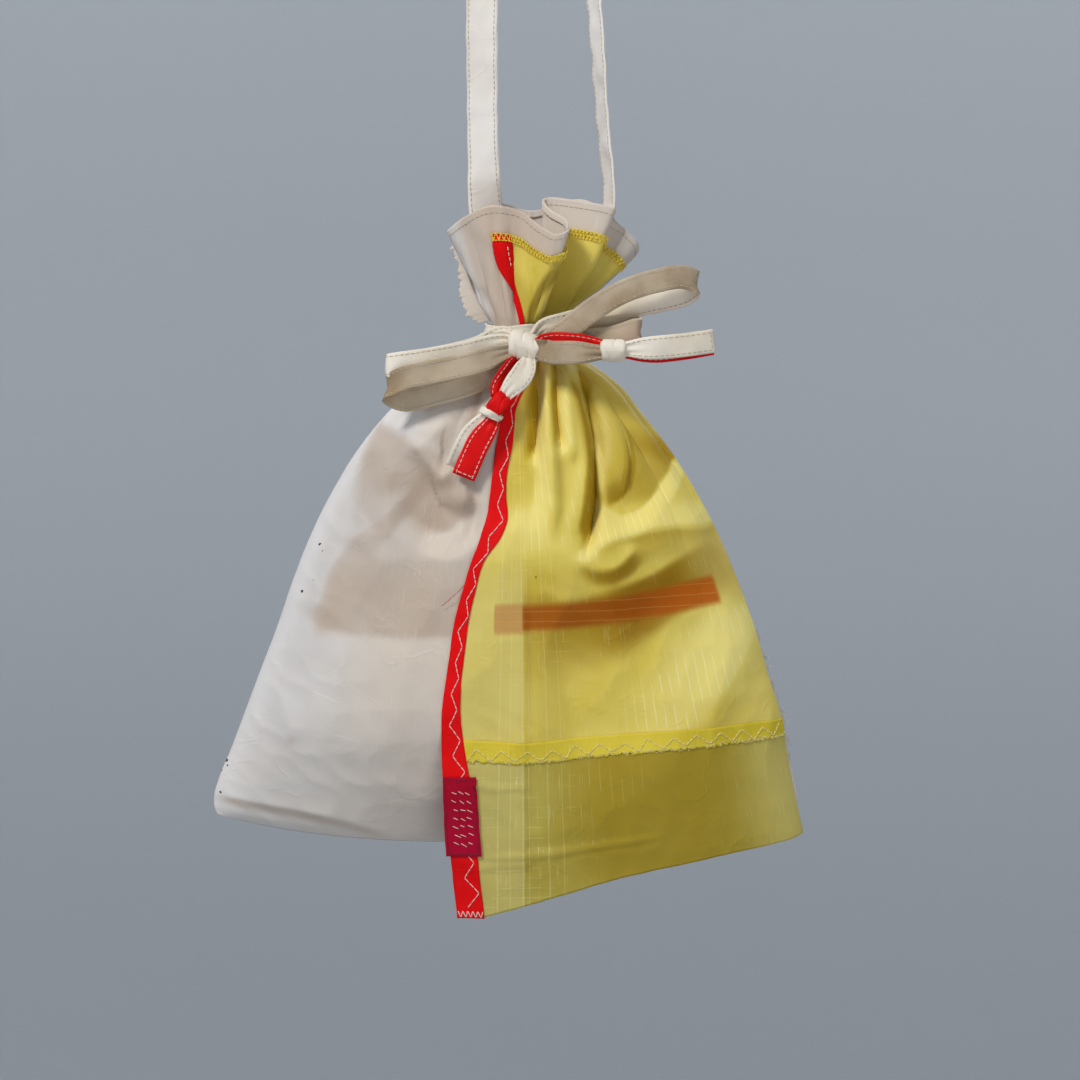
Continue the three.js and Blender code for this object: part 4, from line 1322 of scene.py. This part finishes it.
def make_red_stitches():
    """The red strip's long zigzag, its overcast foot and a straight run in the ruffle."""
    lift, uneven = RED_LIFT + 0.45, 0.14
    drop = np.linspace(22, RED_BOTTOM - 6, 35)
    sway = np.random.default_rng(6).uniform(-uneven, uneven, len(drop))
    side = alternate(len(drop), -0.1, 0.72) + sway
    zigzag = zigzag_stitches(red_turn(drop, side), drop, lift, parts=3)
    side = np.linspace(-0.9, 0.95, 11)
    drop = alternate(len(side), RED_BOTTOM - 4.2, RED_BOTTOM - 0.4)
    overcast = zigzag_stitches(red_turn(drop, side), drop, lift, parts=1)
    drop = np.linspace(APRON_TOP + 6, -38, 40)
    upper = running_stitches(*seam_line(red_turn(drop, 0.45), drop, lift))
    runs = [zigzag, overcast, upper]
    return add_stitches("red_strip_stitches", "red_cloth", WHITE_THREAD, runs, width=0.5)


def make_loose_thread():
    """A loose red thread at the left edge of the red strip."""
    drop = np.linspace(131, 143, 6)
    turn = red_turn(132, -1) + np.array([0.6, -0.6, -1.6, -2.8, -3.9, -5.2])
    points, outs = seam_line(turn, drop, np.array([[1.0], [1.6], [2.4], [3.0], [2.6], [2.0]]))
    run = (points[:-1], points[1:], outs[:-1])
    return add_stitches("loose_red_thread", "red_cloth", RED_THREAD, [run], width=0.4)


def label_turn(u, drop):
    middle = np.interp(drop, [LABEL["top"], LABEL["bottom"]], [LABEL["top_turn"], LABEL["bottom_turn"]])
    return middle + LABEL["spread"] * (2 * u - 1)


def label_drop(u, v):
    return LABEL["bottom"] + (LABEL["top"] - LABEL["bottom"]) * v


def label_line(u, v, height):
    """A line on the label: its points and outward normals, at a height above its face."""
    drop = label_drop(u, v)
    return seam_line(label_turn(u, drop), drop, LABEL_LIFT + height)


def make_label():
    """The patch on the red strip, with plain rows of stitches."""
    def flat(u, v):
        return np.stack([0.019 * u, 0.044 * v], axis=-1)

    mesh = apron_mesh("label_patch", 24, 48, label_turn, label_drop, LABEL_LIFT, flat)
    patch = add_piece(
        "label_patch_cloth", mesh, "magenta_cloth", LABEL_CLOTH, nodes=["label_patch"], wall=CLOTH
    )
    sewing = [make_label_edge(), make_label_rows()]


def make_label_edge():
    """Stitches round the label, near its edge."""
    ring = np.array([(0.07, 0.03), (0.93, 0.03), (0.93, 0.97), (0.07, 0.97), (0.07, 0.03)])
    fine = np.linspace(0, 4, 161)
    u, v = (np.interp(fine, np.arange(5), ring[:, k]) for k in range(2))
    border = running_stitches(*label_line(u, v, height=0.35), length=2.0, pitch=2.7)
    return add_stitches("label_edge_stitches", "magenta_cloth", DARK_THREAD, [border], width=0.5)


def make_label_rows():
    """Seven uneven rows of three stitches."""
    long, slant, height = 0.14, 0.03, 0.4
    grids = np.meshgrid(np.linspace(0.26, 0.66, 3), np.linspace(0.18, 0.82, 7))
    column, row = (grid.ravel() for grid in grids)
    shift = np.random.default_rng(44).uniform(-1, 1, (4, len(row)))
    column, row = column + 0.03 * shift[0], row + 0.012 * shift[1]
    starts, outs = label_line(column, row, height)
    ends, _ = label_line(column + long + 0.03 * shift[2], row - slant - 0.015 * shift[3], height)
    run = (starts, ends, outs)
    return add_stitches("label_row_stitches", "magenta_cloth", WHITE_THREAD, [run], width=0.42)


def route_lines(route, broad, spacing, base, tucked):
    """Even places along a smooth route in millimetres: distance, middle, broad side, face, share of width.
    An end that is tucked under a knot goes on into it and is pinched narrow there."""
    pinched, pinch_reach = 0.45, 10
    rows = [np.asarray(row, float) for row in route]
    for index, knot in zip((0, -1), tucked):
        if knot:
            inside = rows[index].copy()
            inside[:3] = (inside[:3] + np.array(knot[0])) / 2
            rows.insert(0 if index == 0 else len(rows), inside)
    rows = np.array(rows)
    chords = np.linalg.norm(np.diff(rows[:, :3], axis=0), axis=1)
    keys = np.concatenate([[0], np.cumsum(np.sqrt(chords))])
    dense = smooth_rows(np.column_stack([keys, rows]), np.linspace(0, keys[-1], 900))
    gone = line_lengths(dense[:, :3])
    along = np.linspace(0, gone[-1], max(4, round(gone[-1] / spacing)) + 1)
    middle = np.column_stack([np.interp(along, gone, dense[:, k]) for k in range(4)])
    tangent = np.gradient(middle[:, :3], along, axis=0)
    tangent /= np.linalg.norm(tangent, axis=1, keepdims=True)
    side = broad - tangent * (tangent @ broad)[:, None]
    side /= np.linalg.norm(side, axis=1, keepdims=True)
    roll = np.radians(middle[:, 3])[:, None]
    side = side * np.cos(roll) + np.cross(tangent, side) * np.sin(roll)
    pinch = np.ones(along.shape)
    reach = min(pinch_reach, along[-1] / 4)
    for distance, knot in zip((along, along[-1] - along), tucked):
        if knot:
            pinch -= pinched * np.exp(-((distance / reach) ** 2))
    return along, middle[:, :3] + base, side, np.cross(tangent, side), pinch


def ribbon_points(lines, width, shares, rows, seed):
    """Points across a ribbon, a little puffed and wrinkled. Shares run from -1 to 1 across its width."""
    puffed, wrinkled, folded = 0.3, 0.55, 1.5
    along, middle, side, face, pinch = lines
    wrinkle = tape_crumple(along[rows] + 90 * seed, shares * width * 0.5)
    folds = folded * (1 - pinch[rows]) * np.cos(2.5 * math.pi * shares + seed)
    puff = puffed * (1 - shares**2) + wrinkled * wrinkle + folds
    beside = shares * pinch[rows] * width / 2
    return middle[rows] + side[rows] * beside[:, None] + face[rows] * puff[:, None]


def ribbon_stitches(lines, width, thickness, seed, ends=False, inset=1.7):
    """Runs of straight stitches near both edges of a ribbon, and across its last end, on both faces."""
    last = len(lines[0]) - 1
    inner = 1 - 2 * inset / width
    paths = [(np.full(last + 1, side * inner), np.arange(last + 1)) for side in (-1, 1)]
    if ends:
        paths.append((np.linspace(-inner, inner, 9), np.full(9, last - 1)))
    runs = []
    for shares, rows in paths:
        for front in (-1, 1):
            outs = lines[3][rows] * front
            points = ribbon_points(lines, width, shares, rows, seed) + outs * (thickness / 2 + 0.08)
            runs.append(running_stitches(points, outs))
    return runs


def make_ribbon(
    node, slot, route, broad, size, materials, thread, seed, base=NECK, tucked=(None, None), ends=False
):
    """A flat tape or strap along its route, with stitches near its edges. Size is width and thickness."""
    width, thickness = size
    spacing = 1.8 if width < STRAP_WIDTH else 3.0
    lines = route_lines(route, broad, spacing, base, tucked)
    along = lines[0]
    last = len(along) - 1

    def place(u, v):
        return ribbon_points(lines, width, 2 * u - 1, np.rint(v * last).astype(int), seed) * MM

    def flat(u, v):
        return np.stack([u * width + 40 * seed, v * along[-1]], axis=-1) * MM

    mesh = sheet_mesh(node, 12, last, place, flat)
    piece = add_piece(f"{node}_band", mesh, slot, *materials, nodes=[node], wall=thickness)
    runs = ribbon_stitches(lines, width, thickness, seed, ends)
    sewing = add_stitches(f"{node}_stitches", slot, thread, runs, width=0.5)


def make_tapes():
    """The bow's loops, its tails and their ends."""
    cream, pale, red = [CREAM_TAPE], [PALE_TAPE], [RED_TAPE]
    bow, left, right = BOW_KNOT, LEFT_TAIL_KNOT, RIGHT_TAIL_KNOT
    tapes = [
        # The left front loop's inner face takes the lighter tape: painted light in its shade.
        ("left_loop_front", LEFT_LOOP_FRONT, UPRIGHT, [CREAM_TAPE, LIGHTENED_TAPE], CREAM_THREAD, (bow, bow)),
        ("left_loop_back", LEFT_LOOP_BACK, UPRIGHT, pale, CREAM_THREAD, (bow, bow)),
        ("right_loop_front", RIGHT_LOOP_FRONT, UPRIGHT, [PALE_TAPE, CREAM_TAPE], CREAM_THREAD, (bow, bow)),
        ("right_loop_back", RIGHT_LOOP_BACK, UPRIGHT, cream, CREAM_THREAD, (bow, bow)),
        ("right_tail", RIGHT_TAIL, UPRIGHT, [RED_TAPE, CREAM_TAPE], CREAM_THREAD, (right, right)),
        ("right_end_white", RIGHT_END_WHITE, UPRIGHT, pale, CREAM_THREAD, (right, None)),
        ("right_end_red", RIGHT_END_RED, UPRIGHT, red, WHITE_THREAD, (right, None)),
        ("left_tail_red", LEFT_TAIL_RED, SIDEWAYS, red, WHITE_THREAD, (bow, left)),
        ("left_tail_white", LEFT_TAIL_WHITE, SIDEWAYS, pale, CREAM_THREAD, (bow, left)),
        ("left_end_red", LEFT_END_RED, SIDEWAYS, red, WHITE_THREAD, (left, None)),
        ("left_end_white", LEFT_END_WHITE, SIDEWAYS, pale, CREAM_THREAD, (left, None)),
    ]
    size = (TAPE_WIDTH, TAPE_THICKNESS)
    for seed, (node, route, broad, materials, thread, tucked) in enumerate(tapes, 2):
        slot = "red_tape" if materials == red else "cream_tape"
        make_ribbon(node, slot, route, broad, size, materials, thread, seed, NECK, tucked, "_end_" in node)


def make_strap():
    """The shoulder strap, from one side of the mouth to the other."""
    size = (STRAP_WIDTH, STRAP_THICKNESS)
    cloth = [STRAP_CLOTH]
    make_ribbon("shoulder_strap", "white_strap", STRAP_ROUTE, SIDEWAYS, size, cloth, CREAM_THREAD, 1, ORIGIN)


def make_wrap(name, slot, material, middle, halves, lean, ridges, nodes=()):
    """Tape wound tightly round other tapes: a short sleeve with ridges round it, leaning in the front."""
    half_across, half_depth, half_up = halves
    lean = math.radians(lean)
    groove, groove_width, crushed, uneven = 0.09, 0.22, 0.05, 0.06
    around = 6.3

    def place(u, v):
        angle = 2 * math.pi * v
        along = 2 * u - 1
        bulge = np.clip(1 - np.abs(along) ** 9, 0, 1) ** 0.5
        sway = along + 0.3 * np.sin(angle) + 0.12 * np.sin(3 * angle)
        folds = np.exp(-((np.sin(ridges * math.pi / 2 * sway + ridges) / groove_width) ** 2))
        ridge = 1 - groove * folds - crushed * along * np.sin(angle)
        crush = 1 + crushed * np.sin(3 * angle + 2 * along)
        x = along * half_across * (1 + uneven * np.sin(2 * angle))
        depth = -half_depth * np.cos(angle) * bulge * ridge * crush
        up = half_up * np.sin(angle) * bulge * ridge
        turned = np.stack([
            x * math.cos(lean) - up * math.sin(lean),
            depth,
            x * math.sin(lean) + up * math.cos(lean),
        ], axis=-1)
        return to_frame(turned + np.array(middle))

    def flat(u, v):
        return np.stack([2 * u * half_across, around * v * half_up], axis=-1) * MM

    mesh = sheet_mesh(name, 40, 48, place, flat, closed=True)
    return add_piece(name, mesh, slot, material, nodes=nodes)


def make_knots():
    """The wound tape of the three knots."""
    middle, (wide, deep, tall) = LEFT_TAIL_KNOT
    node = ["left_tail_knot"]
    red_size = (0.62 * wide, deep, 0.95 * tall)
    across, depth, up = middle
    lower = (across - 3.2, depth - 0.4, up - 4.6)
    white_size = (0.3 * wide, 0.9 * deep, 0.8 * tall)
    return [
        make_wrap("bow_knot_wrap", "cream_tape", PALE_TAPE, *BOW_KNOT, -16, 3, ["bow_knot"]),
        make_wrap("right_knot_wrap", "cream_tape", PALE_TAPE, *RIGHT_TAIL_KNOT, 2, 2, ["right_tail_knot"]),
        make_wrap("left_knot_wrap", "red_tape", RED_TAPE, middle, red_size, -38, 2, node),
        make_wrap("left_knot_white_wrap", "cream_tape", PALE_TAPE, lower, white_size, 62, 1, node),
    ]


def make_neck_tie():
    """The drawstring round the neck, with the knots that hang from it."""
    radius, height = 17.1, 11

    def place(u, v):
        angle = 2 * math.pi * u
        up = (v - 0.5) * height + 0.7 * np.sin(3 * angle)
        reach = radius + 0.5 * np.sin(7 * angle + 4 * v) - 0.4 * np.sin(9 * v)
        return to_frame(np.stack([reach * np.sin(angle), reach * -np.cos(angle), up], axis=-1))

    def flat(u, v):
        return np.stack([u * 2 * math.pi * radius, v * height], axis=-1) * MM

    mesh = sheet_mesh("neck_tie", 96, 12, place, flat, closed=True)
    piece = add_piece(
        "neck_tie_tape", mesh, "cream_tape", PALE_TAPE, nodes=["neck_tie"], wall=TAPE_THICKNESS
    )
    make_knots()


# The studio, in metres, and the camera's sensor and lens in millimetres.
CAMERA_SENSOR, CAMERA_LENS = 36, 81.8
CAMERA_PLACE, CAMERA_AIM = (0.0022, -1.33994, -0.43823), (0.0022, 0, -0.60275)
FLOOR_LEVEL, WALL_REACH, SWEEP, WALL_HEIGHT = -1.9, 3.6, 1.4, 3.0
BAG_MIDDLE = (0, 0, -0.6)
WARM, PLAIN = (1.0, 0.96, 0.9), (1, 1, 1)

# Lamps: name, place, aim, size, power, colour.
LAMPS = [
    ("key", (-0.75, -1.0, 0.7), BAG_MIDDLE, 0.4, 20, WARM),
    ("fill", (0.6, -1.8, -1.15), BAG_MIDDLE, 1.2, 8, WARM),
    ("back", (0.5, 1.3, 0.2), BAG_MIDDLE, 1.2, 6, PLAIN),
    ("wall", (0, 1.2, 1.8), (0, 3.4, -0.8), 2.5, 47, PLAIN),
    ("left_wall", (-1.8, 0, 1.8), (-3.6, 0, 0.2), 1.8, 30, PLAIN),
    ("right_wall", (1.8, 0, 1.8), (3.6, 0, 0.2), 1.8, 30, PLAIN),
    ("front_wall", (0, -1.8, 1.8), (0, -3.6, 0.2), 1.8, 30, PLAIN),
]


def turned_to(place, aim):
    """The turn of a camera or lamp at a place that looks at an aim."""
    return (Vector(aim) - Vector(place)).to_track_quat("-Z", "Y").to_euler()


def add_camera():
    """A camera in front of the bag and a little above it, as in the photo."""
    camera = bpy.data.objects.new("camera", bpy.data.cameras.new("camera"))
    bpy.context.scene.collection.objects.link(camera)
    camera.data.sensor_width = CAMERA_SENSOR
    camera.data.lens = CAMERA_LENS
    camera.location = CAMERA_PLACE
    camera.rotation_euler = turned_to(CAMERA_PLACE, CAMERA_AIM)
    bpy.context.scene.camera = camera


def add_lamp(name, place, aim, size, power, colour):
    lamp = bpy.data.lights.new(name, "AREA")
    lamp.size = size
    lamp.energy = power
    lamp.color = colour
    light = bpy.data.objects.new(name, lamp)
    light.location = place
    light.rotation_euler = turned_to(place, aim)
    light.visible_camera = False
    bpy.context.scene.collection.objects.link(light)


def floor_mesh():
    """A round floor that sweeps up into a wall."""
    flat_reach = WALL_REACH - SWEEP
    arc = SWEEP * math.pi / 2
    bm = bmesh.new()
    bmesh.ops.create_grid(bm, x_segments=96, y_segments=48, size=0.5)
    for vert in bm.verts:
        angle = -2 * math.pi * vert.co.x
        gone = (vert.co.y + 0.5) * (flat_reach + arc + WALL_HEIGHT)
        bend = max(0.0, min(1.0, (gone - flat_reach) / arc)) * math.pi / 2
        reach = min(gone, flat_reach) + SWEEP * math.sin(bend)
        level = FLOOR_LEVEL + SWEEP * (1 - math.cos(bend)) + max(0.0, gone - flat_reach - arc)
        vert.co = (reach * math.cos(angle), reach * math.sin(angle), level)
    bmesh.ops.remove_doubles(bm, verts=bm.verts, dist=0.001)
    return finished_mesh("studio_floor", bm)


def pale_floor():
    material, tree, shader = new_material("pale_floor")
    place = add_node(tree, "ShaderNodeTexCoord").outputs["Object"]
    height = add_node(tree, "ShaderNodeSeparateXYZ", {0: place}).outputs["Z"]
    share = ramp(tree, height, FLOOR_LEVEL, FLOOR_LEVEL + 1.4)
    tone = mixed(tree, share, linear(160, 166, 173), linear(186, 192, 199))
    tree.links.new(tone, shader.inputs["Base Color"])
    shader.inputs["Roughness"].default_value = 0.9
    return material


def add_studio():
    """A pale floor and wall, and soft light from the upper left."""
    mesh = floor_mesh()
    mesh.materials.append(pale_floor())
    floor = bpy.data.objects.new("studio_floor", mesh)
    bpy.context.scene.collection.objects.link(floor)
    for lamp in LAMPS:
        add_lamp(*lamp)
    world = bpy.data.worlds.new("studio")
    world.use_nodes = True
    sky = world.node_tree.nodes["Background"].inputs
    sky["Color"].default_value = (0.86, 0.85, 0.84, 1)
    sky["Strength"].default_value = 0.16
    bpy.context.scene.world = world
    bpy.context.scene.view_settings.view_transform = "Standard"


add_camera()
add_studio()
make_pouch()
make_yellow_panel()
make_yellow_band()
make_red_strip()
make_label()
make_neck_tie()
make_tapes()
make_strap()
